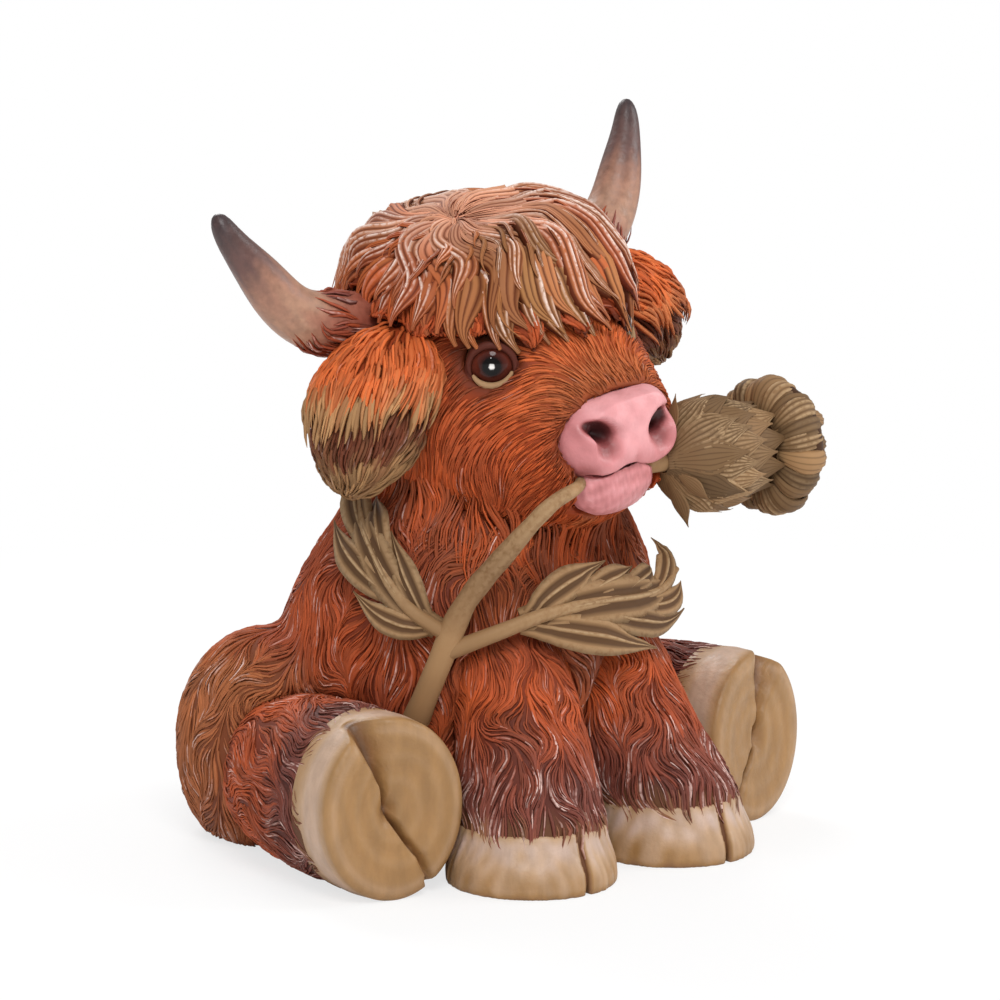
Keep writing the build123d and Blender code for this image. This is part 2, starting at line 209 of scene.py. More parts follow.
# a closed copy of CAD nodes as an even skin
def skinOf(name, nodes, voxel, smoothing=6):
    form = bmesh.new()
    for node in nodes:
        form.from_mesh(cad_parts[node].data)
    bmesh.ops.remove_doubles(form, verts=form.verts, dist=0.02 * mm)
    mesh = bpy.data.meshes.new(name)
    form.to_mesh(mesh)
    form.free()
    obj = newPiece(name, mesh)
    remesh = obj.modifiers.new("remesh", "REMESH")
    remesh.mode = "VOXEL"
    remesh.voxel_size = voxel * mm
    relax = obj.modifiers.new("relax", "SMOOTH")
    relax.factor = 0.5
    relax.iterations = smoothing
    settle(obj)
    return obj


# 0 where another piece lies within the near distance in mm, 1 beyond the far one
def openShare(points, others, near, far):
    corners, faces = [], []
    for node in others:
        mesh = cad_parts[node].data
        start = len(corners)
        corners.extend(v.co.copy() for v in mesh.vertices)
        faces.extend(tuple(start + i for i in p.vertices) for p in mesh.polygons)
    tree = BVHTree.FromPolygons(corners, faces)
    gaps = np.array([tree.find_nearest(Vector(p * mm), far * mm * 1.5)[3] or far * mm for p in points])
    return smoothStep(gaps / mm, near, far)


def finishPiece(obj, slot, *nodes, paint=None):
    if paint:
        obj.data.materials.append(paint)
    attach(obj, "root")
    if nodes:
        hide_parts(*nodes)
    print(f"{obj.name}: {len(obj.data.polygons)} faces")


# nodes
def socketOf(sockets, key):
    if isinstance(key, int):
        return sockets[key]
    named = [s for s in sockets if s.name == key]
    return next((s for s in named if s.enabled), named[0])


def setInputs(tree, made, inputs):
    for key, value in inputs.items():
        socket = socketOf(made.inputs, key)
        if isinstance(value, bpy.types.NodeSocket):
            tree.links.new(value, socket)
        else:
            socket.default_value = value


def addNode(tree, kind, inputs=None, **settings):
    made = tree.nodes.new(kind)
    for key, value in settings.items():
        setattr(made, key, value)
    setInputs(tree, made, inputs or {})
    return made


def mathNode(tree, operation, first, second, third=0.0):
    return addNode(tree, "ShaderNodeMath", {0: first, 1: second, 2: third}, operation=operation).outputs[0]


def product(tree, total, *factors):
    for factor in factors:
        total = mathNode(tree, "MULTIPLY", total, factor)
    return total


def vectorNode(tree, operation, first, second=(0, 0, 0)):
    key = "Scale" if operation == "SCALE" else 1
    made = addNode(tree, "ShaderNodeVectorMath", {0: first, key: second}, operation=operation)
    return made.outputs["Value" if operation in ("LENGTH", "DOT_PRODUCT") else "Vector"]


def mapRange(tree, value, low, high, toLow=0.0, toHigh=1.0):
    return addNode(tree, "ShaderNodeMapRange", {
        "Value": value, "From Min": low, "From Max": high, "To Min": toLow, "To Max": toHigh}).outputs[0]


def mixColours(tree, share, first, second, blend="MIX"):
    return addNode(tree, "ShaderNodeMix", {0: share, 6: first, 7: second},
                   data_type="RGBA", blend_type=blend).outputs[2]


def objectPlace(tree):
    return addNode(tree, "ShaderNodeTexCoord").outputs["Object"]


def newMaterial(name):
    material = bpy.data.materials.new(name)
    material.use_nodes = True
    tree = material.node_tree
    return material, tree, tree.nodes["Principled BSDF"]


# stage, in metres; the floor glows to white away from the calf, so that only its shadow shows
stage = {"eye": (-0.5835, -0.6713, 0.2177), "aim": (0.00683, -0.00594, 0.0755), "lens": 143.2,
         "worldLight": 0.5, "floorSize": 6.0, "floorGlow": 0.72, "shadowReach": (0.12, 0.4)}
lamps = {
    "keyLamp": {"place": (-0.55, -0.75, 0.95), "size": 0.55, "power": 8.4},
    "fillLamp": {"place": (0.75, -0.55, 0.55), "size": 0.6, "power": 4.0},
    "rimLamp": {"place": (0.25, 0.8, 0.8), "size": 0.6, "power": 5.0},
    "catchLamp": {"place": (-0.62, -0.62, 0.42), "size": 0.07, "power": 0.5},
}


def placeAimed(name, data, place):
    obj = newPiece(name, data)
    obj.location = place
    obj.rotation_euler = (Vector(stage["aim"]) - obj.location).to_track_quat("-Z", "Y").to_euler()
    return obj


def buildCamera():
    scene.camera = placeAimed("camera", bpy.data.cameras.new("camera"), stage["eye"])
    scene.camera.data.lens = stage["lens"]
    scene.camera.data.clip_start = 0.01


def buildLamps():
    for name, lamp in lamps.items():
        light = bpy.data.lights.new(name, "AREA")
        light.shape = "DISK"
        light.size = lamp["size"]
        light.energy = lamp["power"]
        placeAimed(name, light, lamp["place"])


def buildWorld():
    world = bpy.data.worlds.new("paleRoom")
    world.use_nodes = True
    scene.world = world
    tree = world.node_tree
    path = addNode(tree, "ShaderNodeLightPath").outputs
    seen = mathNode(tree, "MAXIMUM", path["Is Camera Ray"], path["Is Transmission Ray"])
    strength = mapRange(tree, seen, 0, 1, stage["worldLight"], 1)
    setInputs(tree, tree.nodes["Background"], {"Strength": strength, "Color": (1, 1, 1, 1)})


def buildFloor():
    half = stage["floorSize"] / 2
    corners = [(-half, -half, 0), (half, -half, 0), (half, half, 0), (-half, half, 0)]
    floor = newPiece("floor", meshOf("floor", corners, [(0, 1, 2, 3)]))
    material, tree, paint = newMaterial("paleFloor")
    setInputs(tree, paint, {"Base Color": (0.93, 0.93, 0.93, 1), "Roughness": 0.9})
    glow = addNode(tree, "ShaderNodeEmission", {"Strength": 1.0})
    away = vectorNode(tree, "LENGTH", objectPlace(tree))
    far = mapRange(tree, away, *stage["shadowReach"], stage["floorGlow"], 1.0)
    share = product(tree, addNode(tree, "ShaderNodeLightPath").outputs["Is Camera Ray"], far)
    mixed = addNode(tree, "ShaderNodeMixShader", {0: share, 1: paint.outputs[0], 2: glow.outputs[0]})
    setInputs(tree, tree.nodes["Material Output"], {"Surface": mixed.outputs[0]})
    floor.data.materials.append(material)


buildCamera()
buildLamps()
buildWorld()
buildFloor()
print("stage: camera, lamps and floor")


# geometry node helpers
def newTree(name, inputs):
    tree = bpy.data.node_groups.new(name, "GeometryNodeTree")
    tree.interface.new_socket("Geometry", in_out="INPUT", socket_type="NodeSocketGeometry")
    tree.interface.new_socket("Geometry", in_out="OUTPUT", socket_type="NodeSocketGeometry")
    for label, kind in inputs.items():
        tree.interface.new_socket(label, in_out="INPUT", socket_type="NodeSocket" + kind)
    return tree, tree.nodes.new("NodeGroupInput").outputs, tree.nodes.new("NodeGroupOutput")


def growOn(obj, tree, values):
    modifier = obj.modifiers.new(tree.name, "NODES")
    modifier.node_group = tree
    for item in tree.interface.items_tree:
        if item.in_out == "INPUT" and item.name in values:
            modifier[item.identifier] = values[item.name]


def namedField(tree, name, kind="FLOAT"):
    return addNode(tree, "GeometryNodeInputNamedAttribute", {"Name": name}, data_type=kind).outputs[0]


def storeField(tree, geometry, name, value, kind="FLOAT"):
    inputs = {"Geometry": geometry, "Name": name, "Value": value}
    return addNode(tree, "GeometryNodeStoreNamedAttribute", inputs, data_type=kind, domain="POINT").outputs[0]


def randomField(tree, low, high, seed, start):
    inputs = {2: low, 3: high, 8: mathNode(tree, "ADD", seed, float(start))}
    return addNode(tree, "FunctionNodeRandomValue", inputs, data_type="FLOAT").outputs[1]


def objectShape(tree, socket):
    return addNode(tree, "GeometryNodeObjectInfo", {"Object": socket}).outputs["Geometry"]


def realize(tree, geometry):
    return addNode(tree, "GeometryNodeRealizeInstances", {"Geometry": geometry}).outputs[0]


def toCurve(tree, mesh):
    return addNode(tree, "GeometryNodeMeshToCurve", {"Mesh": mesh}).outputs[0]


# ends a tree: the profile runs along every line, then the paint goes on
def sweepInto(tree, take, lines, width, result):
    turned = addNode(tree, "GeometryNodeSetCurveNormal", {
        "Curve": toCurve(tree, lines), "Normal": namedField(tree, "lift", "FLOAT_VECTOR")}, mode="FREE")
    swept = addNode(tree, "GeometryNodeCurveToMesh", {
        "Curve": turned.outputs[0], "Profile Curve": toCurve(tree, objectShape(tree, take["Profile"])),
        "Scale": width, "Fill Caps": True})
    painted = addNode(tree, "GeometryNodeSetMaterial", {
        "Geometry": realize(tree, swept.outputs[0]), "Material": take["Paint"]})
    setInputs(tree, result, {"Geometry": painted.outputs[0]})


# fur: each hair walks over the skin along the combed flow, then becomes a thin ridge
hairSpine = {"rise": [-0.5, 0.5, 0.95, 1.0, 0.65, 0.0], "taper": [0.4, 0.95, 1.0, 0.9, 0.65, 0.15]}
hairSteps = len(hairSpine["rise"]) - 1
hairRange = {"length": (0.65, 1.25), "width": (0.32, 0.68), "tall": (0.3, 1.3)}


def spineObject():
    mesh = bpy.data.meshes.new("hairSpine")
    mesh.from_pydata([(0, 0, 0)] * (hairSteps + 1), [(i, i + 1) for i in range(hairSteps)], [])
    setAttribute(mesh, "rank", range(hairSteps + 1))
    setAttribute(mesh, "along", np.linspace(0, 1, hairSteps + 1))
    for name, values in hairSpine.items():
        setAttribute(mesh, name, values)
    return bpy.data.objects.new("hairSpine", mesh)


# an outline of (across, height, crest), where crest is 1 on a ridge and 0 in a groove
def profileObject(name, outline):
    across, height, crest = zip(*outline)
    count = len(outline)
    mesh = bpy.data.meshes.new(name)
    edges = [(i, (i + 1) % count) for i in range(count)]
    mesh.from_pydata([(h, a, 0) for h, a in zip(height, across)], edges, [])
    setAttribute(mesh, "crest", crest)
    return bpy.data.objects.new(name, mesh)


def furTree():
    floats = {name: "Float" for name in ("Density", "Spacing", "Length", "Width", "Lift")}
    tree, take, result = newTree("furCoat", {
        **floats, "Seed": "Int", "Spine": "Object", "Profile": "Object", "Paint": "Material"})
    skin, seed, stretch = take["Geometry"], take["Seed"], namedField(tree, "stretch")

    def onSkin(name):
        inputs = {"Mesh": skin, "Value": namedField(tree, name, "FLOAT_VECTOR")}
        return addNode(tree, "GeometryNodeSampleNearestSurface", inputs, data_type="FLOAT_VECTOR").outputs[0]

    roots = addNode(tree, "GeometryNodeDistributePointsOnFaces", {
        "Mesh": skin, "Distance Min": take["Spacing"], "Density Max": take["Density"],
        "Density Factor": namedField(tree, "cover"), "Seed": seed},
        distribute_method="POISSON").outputs["Points"]
    shares = [share / hairSteps for share in hairRange["length"]]
    fields = {
        "stride": product(tree, take["Length"], randomField(tree, *shares, seed, 31), stretch),
        "halfWidth": product(tree, take["Width"], randomField(tree, *hairRange["width"], seed, 47), stretch),
        "tone": randomField(tree, 0.0, 1.0, seed, 59),
        "spark": randomField(tree, 0.0, 1.0, seed, 61),
        "tall": randomField(tree, *hairRange["tall"], seed, 23)}
    for name, value in fields.items():
        roots = storeField(tree, roots, name, value)
    grown = addNode(tree, "GeometryNodeInstanceOnPoints", {
        "Points": roots, "Instance": objectShape(tree, take["Spine"])})
    hairs = realize(tree, grown.outputs[0])
    for step in range(1, hairSteps + 1):
        here = addNode(tree, "GeometryNodeInputPosition").outputs[0]
        stride = vectorNode(tree, "SCALE", onSkin("flow"), namedField(tree, "stride"))
        foot = addNode(tree, "GeometryNodeProximity", {
            0: skin, "Sample Position": vectorNode(tree, "ADD", here, stride)}, target_element="FACES")
        further = mathNode(tree, "GREATER_THAN", namedField(tree, "rank"), step - 0.5)
        hairs = addNode(tree, "GeometryNodeSetPosition", {
            "Geometry": hairs, "Selection": further, "Position": foot.outputs["Position"]}).outputs[0]
    hairs = storeField(tree, hairs, "lift", onSkin("skinNormal"), "FLOAT_VECTOR")
    height = product(tree, namedField(tree, "rise"), namedField(tree, "tall"), take["Lift"])
    offset = vectorNode(tree, "SCALE", namedField(tree, "lift", "FLOAT_VECTOR"), height)
    hairs = addNode(tree, "GeometryNodeSetPosition", {"Geometry": hairs, "Offset": offset}).outputs[0]
    width = product(tree, namedField(tree, "halfWidth"), namedField(tree, "taper"))
    sweepInto(tree, take, hairs, width, result)
    return tree


furCoat = furTree()
furSpine = spineObject()
furProfile = profileObject("furProfile", [(-1, -0.4, 0.1), (0, 0.5, 1.0), (1, -0.4, 0.1)])
spareLayers = ["flow", "skinNormal", "cover", "stretch", "stride", "halfWidth", "tall", "rank", "rise",
               "taper", "lift"]


def dropSpare(mesh):
    for name in spareLayers:
        if name in mesh.attributes:
            mesh.attributes.remove(mesh.attributes[name])


# direction of the hair from listed combs, each a place and a heading, with waves in it
def combFlow(points, normals, combs, reach, waves, seed):
    places = np.array([c[0] for c in combs])
    headings = unit(np.array([c[1] for c in combs], dtype=float))
    gaps = ((points[:, None, :] - places[None, :, :]) ** 2).sum(2)
    weights = np.exp(-(gaps - gaps.min(1, keepdims=True)) / reach ** 2)
    flow = squareTo((weights[:, :, None] * headings[None, :, :]).sum(1), normals)
    return turnFlow(flow, points, normals, waves, seed)


def turnFlow(flow, points, normals, waves, seed):
    angle = waves["bend"] * waveField(points, waves["length"], seed)
    return unit(flow * np.cos(angle)[:, None] + np.cross(normals, flow) * np.sin(angle)[:, None])


def mirrored(combs, place, turn):
    made = []
    for side in sides.values():
        made += [(place(*spot, side), turn(*heading, side)) for spot, heading in combs]
    return made


paints = {name: np.array(colour) for name, colour in {
    "bright": (0.60, 0.135, 0.034), "orange": (0.47, 0.088, 0.021), "rust": (0.34, 0.068, 0.024),
    "gold": (0.42, 0.16, 0.06), "plum": (0.16, 0.052, 0.042), "brown": (0.12, 0.032, 0.014),
    "tan": (0.34, 0.185, 0.08)}.items()}


# layers of paint from the first up, each a colour and its share
def layered(colour, *layers):
    for upper, share in layers:
        share = np.clip(share, 0, 1)[:, None]
        colour = colour * (1 - share) + upper * share
    return colour


# colour of painted hair: dark wash in the grooves, a tone for each strand, dry brush on some crests
def hairGroup():
    group = bpy.data.node_groups.new("brushedHair", "ShaderNodeTree")
    for label in ("Wash", "Dry Brush"):
        group.interface.new_socket(label, in_out="INPUT", socket_type="NodeSocketColor")
    group.interface.new_socket("Color", in_out="OUTPUT", socket_type="NodeSocketColor")
    group.interface.new_socket("Roughness", in_out="OUTPUT", socket_type="NodeSocketFloat")
    given = group.nodes.new("NodeGroupInput").outputs
    result = group.nodes.new("NodeGroupOutput")

    def layer(name, output="Fac"):
        return addNode(group, "ShaderNodeAttribute", attribute_name=name).outputs[output]

    coat, crest, along = layer("coat", "Color"), layer("crest"), layer("along")
    noise = {"Vector": objectPlace(group), "Scale": 900.0, "Detail": 3.0}
    speckle = addNode(group, "ShaderNodeTexNoise", noise).outputs[0]
    groove = mixColours(group, 1.0, coat, given["Wash"], "MULTIPLY")
    strand = vectorNode(group, "SCALE", coat, mapRange(group, layer("tone"), 0, 1, 0.72, 1.28))
    filled = mixColours(group, mapRange(group, crest, 0.0, 0.5), groove, strand)
    picked = mathNode(group, "MULTIPLY_ADD", layer("frost"), 1.0, -1.0)
    chosen = mapRange(group, mathNode(group, "ADD", layer("spark"), picked), 0.0, 0.25)
    middle = product(group, mapRange(group, along, 0.1, 0.4), mapRange(group, along, 1.0, 0.85))
    brushed = product(group, chosen, middle, mapRange(group, crest, 0.4, 0.95),
                      mapRange(group, speckle, 0.3, 0.55))
    setInputs(group, result, {"Color": mixColours(group, brushed, filled, given["Dry Brush"]),
                              "Roughness": mapRange(group, speckle, 0, 1, 0.5, 0.75)})
    return group


brushedHair = hairGroup()


def hairMaterial(name, wash, dryBrush):
    material, tree, paint = newMaterial(name)
    brushed = addNode(tree, "ShaderNodeGroup", node_tree=brushedHair)
    setInputs(tree, brushed, {"Wash": (*wash, 1), "Dry Brush": (*dryBrush, 1)})
    setInputs(tree, paint, {"Base Color": brushed.outputs["Color"], "Roughness": brushed.outputs["Roughness"],
                            "Specular IOR Level": 0.2})
    return material


furPaint = hairMaterial("furPaint", (0.62, 0.46, 0.36), (0.78, 0.56, 0.50))
bodyPaint = hairMaterial("bodyPaint", (0.42, 0.30, 0.25), (0.78, 0.56, 0.50))


# prepares a skin for its coats
def combSkin(skin, flow, coat, frost, cover, stretch=1.0):
    mesh = skin.data
    setAttribute(mesh, "flow", flow, "FLOAT_VECTOR")
    setAttribute(mesh, "skinNormal", readNormals(mesh), "FLOAT_VECTOR")
    setCoat(mesh, coat)
    for name, values in {"frost": frost, "cover": cover, "stretch": stretch}.items():
        setAttribute(mesh, name, np.broadcast_to(values, len(mesh.vertices)))


# a coat of hairs: count per square mm, then least spacing, length, width and lift in mm
def coatOf(perSquareMm, spacing, length, width, lift, seed):
    return {"Density": perSquareMm / mm ** 2, "Spacing": spacing * mm, "Length": length * mm,
            "Width": width * mm, "Lift": lift * mm, "Seed": seed}


# the coats stand on a copy of the skin, then only the hairs stay
def growCoats(name, skin, fur, slot="fur_resin"):
    for label, coat in fur["coats"].items():
        obj = newPiece(f"{name}_{label}", skin.data.copy())
        growOn(obj, furCoat, dict(coat, Seed=coat["Seed"] + fur.get("seed", 0), Spine=furSpine,
                                  Profile=furProfile, Paint=fur.get("paint", furPaint)))
        settle(obj)
        dropSpare(obj.data)
        finishPiece(obj, slot)


def finishSkin(skin, slot, *nodes, paint=furPaint):
    dropSpare(skin.data)
    setAttribute(skin.data, "crest", np.full(len(skin.data.vertices), 0.12))
    finishPiece(skin, slot, *nodes, paint=paint)


body = {"voxel": 1.9, "reach": 14.0, "paint": bodyPaint, "waves": {"bend": 0.85, "length": 14.0},
        "patches": {"tone": (30, 7), "chest": (14, 8), "low": (22, 9), "frost": (16, 15), "length": (20, 21)},
        "coats": {"undercoat": coatOf(0.2, 1.1, 12.0, 1.2, 0.22, seed=3),
                  "coat": coatOf(0.34, 0.9, 11.0, 0.7, 0.36, seed=4),
                  "topcoat": coatOf(0.18, 1.1, 9.0, 0.48, 0.5, seed=5)},
        "combs": [((0, 46, 70), (0, 0.1, -1)), ((20, 36, 65), (0.35, 0, -1)),
                  ((38, 5, 68), (0.25, -0.35, -1)), ((44, -5, 42), (0.1, -0.45, -0.9)),
                  ((0, -38, 62), (0, -0.3, -1)), ((0, -48, 25), (0, 0, -1)),
                  ((40, -42, 22), (0.2, -0.1, -1)), ((42, -22, 46), (0.5, -0.5, -0.5)),
                  ((56, -18, 24), (0.1, -0.25, -1)), ((46, 2, 30), (0.1, 0.6, -0.7)),
                  ((12, 44, 45), (0.2, 0.1, -1))],
        "others": ["head", "left_front_leg", "right_front_leg", "left_hind_leg", "right_hind_leg",
                   "base_felt"]}
floorFade = (0.8, 2.2)  # no roots near the floor, so that no hair goes through it


def buildBody():
    skin = skinOf("torso_skin", ["torso"], body["voxel"])
    points, normals = surface(skin)
    combs = mirrored(body["combs"], bodyPoint, bodyPoint)
    flow = combFlow(points, normals, combs, body["reach"], body["waves"], 5)
    patch = patchesOf(points, body["patches"])
    x, y, z = points.T
    haunch = smoothStep(np.abs(x), 36, 48) * smoothStep(y, -6, 6) * smoothStep(z, 54, 42)
    chest = smoothStep(y, -12, -32) * smoothStep(np.abs(x), 34, 20)
    low = 0.35 * smoothStep(z, 34, 8) + 0.3 * smoothStep(patch["low"], 0.3, 1)
    coat = layered(paints["rust"] * 0.92, (paints["orange"] * 0.92, 0.35 + 0.35 * patch["tone"]),
                   (paints["gold"] * 0.85, 0.7 * haunch + 0.25 * chest),
                   (paints["brown"] * 1.4, 0.55 * chest * smoothStep(patch["chest"], -0.5, 0.6)),
                   (paints["plum"], low * (1 - 0.6 * haunch)))
    frost = np.clip(0.10 + 0.16 * patch["frost"] + 0.12 * haunch, 0.02, 0.4)
    cover = openShare(points, body["others"], 0.0, 0.3) * smoothStep(z, *floorFade)
    for name, side in sides.items():
        combSkin(skin, flow, coat, frost, cover * (x * side > 0), 1 + 0.12 * patch["length"])
        growCoats(f"torso_{name}", skin, dict(body, seed=side))
    finishSkin(skin, "fur_resin", "torso", paint=bodyPaint)


buildBody()

# the eye's stops run from its rim to the middle of the pupil; the last stop is a painted highlight, a white
# glint painted at the pupil's middle
eye = {"place": (17.8, 23.0, 9.4), "radius": 5.8, "deeper": 1.2, "gaze": (0.66, 0.74, 0.04),
       "stops": [(0.0, (0.25, 0.12, 0.06)), (0.6, (0.16, 0.035, 0.02)), (0.8, (0.10, 0.02, 0.012)),
                 (0.9, (0.045, 0.009, 0.006)), (0.945, (0.003, 0.002, 0.002)),
                 (0.9905, (0.003, 0.002, 0.002)), (0.9935, (0.85, 0.83, 0.80))]}
head = {"voxel": 1.4, "reach": 9.0, "waves": {"bend": 0.32, "length": 15.0},
        "patches": {"tone": (22, 33), "jaw": (9, 34), "frost": (14, 35)},
        "coats": {"undercoat": coatOf(0.36, 0.85, 9.0, 1.15, 0.25, seed=13),
                  "coat": coatOf(0.52, 0.7, 8.0, 0.6, 0.45, seed=14)},
        "snout": {"fringe": coatOf(2.2, 0.45, 5.0, 0.6, 0.5, seed=15)},
        "combs": [((0, 38, 4), (0, -1, 0.6)), ((12, 32, 2), (0.55, -0.7, -0.4)),
                  ((10, 24, 18), (0.3, -0.6, 0.8)), ((18, 34, -12), (0.35, -0.5, -0.8)),
                  ((26, 20, -12), (0.15, -0.3, -1.0)), ((30, 5, -14), (0.1, -0.3, -1)),
                  ((14, 25, -32), (0.2, -0.8, -0.5)), ((0, 10, -38), (0, -0.7, -0.7)),
                  ((0, -32, 0), (0, -0.1, -1)), ((25, -20, 0), (0.1, -0.2, -1)),
                  ((29, 14, 6), (0.3, -0.6, -0.7))],
        "others": ["forelock", "left_eye", "right_eye", "lower_lip", "torso"]}


def buildHead():
    skin = skinOf("head_skin", ["head"], head["voxel"])
    points, normals = surface(skin)
    combs = mirrored(head["combs"], headPoint, headTurn)
    flow = combFlow(points, normals, combs, head["reach"], head["waves"], 31)
    patch = patchesOf(points, head["patches"])
    out, forward, above = inHead(points)
    eyes = [headPoint(*eye["place"], side) for side in sides.values()]
    toEye = np.min([np.linalg.norm(points - centre, axis=1) for centre in eyes], axis=0)
    nearNose = smoothStep(forward, 33, 41) * smoothStep(above, -6, 4)
    brow = smoothStep(forward, 18, 28) * smoothStep(above, -4, 4) * smoothStep(toEye, 8, 12)
    jaw = 0.45 * smoothStep(above, -14, -30) * smoothStep(patch["jaw"], -0.2, 0.8)
    coat = layered(paints["orange"], (paints["rust"], 0.25 + 0.35 * patch["tone"]),
                   (paints["gold"] * 0.75, jaw),
                   (paints["brown"], 0.5 * smoothStep(above, -26, -40)),
                   (paints["brown"], 0.75 * (1 - smoothStep(toEye, 6.5, 10.0))),
                   (paints["bright"], 0.6 * brow), (paints["tan"] * 0.9, 0.3 * nearNose),
                   (paints["brown"], 0.6 * (1 - openShare(points, ["muzzle"], 0.3, 2.0))))
    cover = openShare(points, head["others"], 0.0, 0.3)
    stretch = (0.5 + 0.5 * smoothStep(toEye, 6, 13)) * (0.7 + 0.3 * smoothStep(forward, 40, 24))
    frost = np.clip(0.05 + 0.08 * patch["frost"], 0.01, 0.2)
    for name, side in sides.items():
        combSkin(skin, flow, coat, frost, cover * (out * side > 0), stretch)
        growCoats(f"head_{name}", skin, dict(head, seed=side))
    nearPad = (1 - openShare(points, ["muzzle"], 1.5, 3.5)) * smoothStep(forward, 36, 38)
    combSkin(skin, flow, coat, frost, nearPad, stretch)
    growCoats("snout", skin, {"coats": head["snout"]})
    finishSkin(skin, "fur_resin", "head")


buildHead()

ruff = {"voxel": 1.8, "smoothing": 30, "near": 3.0, "far": 8.0, "waves": {"bend": 0.45, "length": 14.0},
        "coats": {"undercoat": coatOf(0.22, 1.1, 14.0, 1.2, 0.4, seed=51),
                  "coat": coatOf(0.4, 0.8, 12.0, 0.65, 0.6, seed=52)}}


# hair that bridges the crease between head and body stands on a skin over both
def buildRuff():
    skin = skinOf("ruff_skin", ["torso", "head"], ruff["voxel"], ruff["smoothing"])
    points, normals = surface(skin)
    down = squareTo(np.array((0.0, -0.1, -1.0))[None], normals)
    flow = turnFlow(down, points, normals, ruff["waves"], 53)
    cover = np.ones(len(points))
    for node in ("head", "torso"):
        cover *= 1 - openShare(points, [node], ruff["near"], ruff["far"])
    coat = layered(paints["orange"], (paints["brown"] * 1.6, 0.4 + 0.4 * waveField(points, 9, 54)))
    combSkin(skin, flow, coat, 0.08, cover)
    growCoats("ruff", skin, ruff)
    bpy.data.objects.remove(skin)


buildRuff()

ear = {"voxel": 1.2, "root": (20.0, 6.0, 20.0), "fringe": 6.0, "ragged": 1.8, "recess": 1.7,
       "grow": {"left": (0.95, 1.0, 0.94), "right": (0.97, 1.28, 1.1)},
       "shift": {"left": (-1.0, 0.0, 0.5), "right": (-1.0, 2.5, -0.5)},
       "tan": {"left": 0.35, "right": 1.0}, "waves": {"bend": 0.28, "length": 12.0},
       "coats": {"undercoat": coatOf(0.4, 0.9, 9.0, 1.9, 0.4, seed=41),
                 "coat": coatOf(0.45, 0.8, 9.5, 1.0, 0.9, seed=42)}}


# the flap's hair ends in a ragged fringe, and the lining lies deeper below it
def buildEar(name, side):
    skin = skinOf(f"{name}_ear_skin", [f"{name}_ear"], ear["voxel"])
    root = headPoint(*ear["root"], side)
    grown = ((readPoints(skin.data) - root) @ headAxes * ear["grow"][name]) @ headAxes.T
    writePoints(skin, root + grown + headTurn(*ear["shift"][name], side))
    points, normals = surface(skin)
    above = inHead(points)[2]
    ragged = above - ear["fringe"] + ear["ragged"] * waveField(points, 7, 43 + side)
    heading = unit(points - root) + headTurn(0, 0, -0.5, side)
    flow = turnFlow(squareTo(heading, normals), points, normals, ear["waves"], 47 + side)
    cover = openShare(points, ["head", "forelock", f"{name}_horn"], 0.3, 1.0)
    coat = layered(paints["bright"], (paints["orange"], 0.3 + 0.4 * waveField(points, 10, 48)),
                   (paints["tan"] * 1.15, ear["tan"][name] * smoothStep(ragged, 8, 2)))
    combSkin(skin, flow, coat, 0.06, cover * smoothStep(ragged, 0.5, 2.0))
    growCoats(f"{name}_ear_flap", skin, dict(ear, seed=side))
    under = smoothStep(ragged, 2.5, 0.5)
    writePoints(skin, points - normals * (ear["recess"] * under + 0.3)[:, None])
    lining = layered(paints["brown"] * 1.2,
                     (paints["tan"] * 0.85, smoothStep(above, 3, -8) + 0.3 * waveField(points, 8, 49)))
    combSkin(skin, flow, layered(paints["orange"], (lining, under)), 0.08, cover * under, 0.9)
    growCoats(f"{name}_ear_lining", skin, dict(ear, seed=10 + side))
    finishSkin(skin, "fur_resin", f"{name}_ear")


for name, side in sides.items():
    buildEar(name, side)

leg = {"voxel": 1.5, "paint": bodyPaint, "waves": {"bend": 0.8, "length": 11.0},
       "frontHoofLine": 13.0, "frontLength": 42.0, "hindHoof": 13.0,
       "hip": (45.0, -10.0, 18.5), "sole": (54.5, 42.0, 19.6),
       "coats": {"undercoat": coatOf(0.34, 0.9, 10.0, 1.1, 0.22, seed=61),
                 "coat": coatOf(0.52, 0.7, 8.5, 0.58, 0.42, seed=62)}}


# hoof and leg share a skin, so that the hair runs out over the hoof; its tucked end is under the hoof's shell
def growLeg(name, heading, share, tuck, tint, seed):
    skin = skinOf(f"{name}_skin", [name, name.replace("leg", "hoof")], leg["voxel"])
    writePoints(skin, tuck(*surface(skin)))
    points, normals = surface(skin)
    flow = turnFlow(squareTo(heading[None], normals), points, normals, leg["waves"], seed)
    patch = patchesOf(points, {"tone": (18, seed + 1), "frost": (11, seed + 2), "dark": (12, seed + 3),
                               "edge": (6, seed + 4)})
    low = share(points) - 0.07 * smoothStep(normals[:, 2], 0.2, 1.0)  # longer on the upper side
    low = low + 0.05 * patch["edge"]
    coat = layered(paints["orange"], (paints["rust"], 0.4 + 0.45 * patch["tone"]),
                   (paints["brown"] * 1.5, 0.5 * smoothStep(patch["dark"], 0.2, 0.9)),
                   (paints["plum"] * 0.9, tint * smoothStep(low, 0.3, 0.8)),
                   (paints["tan"] * 0.8, 0.7 * smoothStep(low, 0.84, 1.0)))
    frost = np.clip(0.10 + 0.17 * smoothStep(low, 0.3, 0.9) + 0.12 * patch["frost"], 0.02, 0.5)
    cover = (1 - smoothStep(low, 0.9, 0.99)) * smoothStep(points[:, 2], *floorFade)
    combSkin(skin, flow, coat, frost, cover)
    growCoats(name, skin, dict(leg, seed=seed))
    finishSkin(skin, "fur_resin", name, paint=bodyPaint)


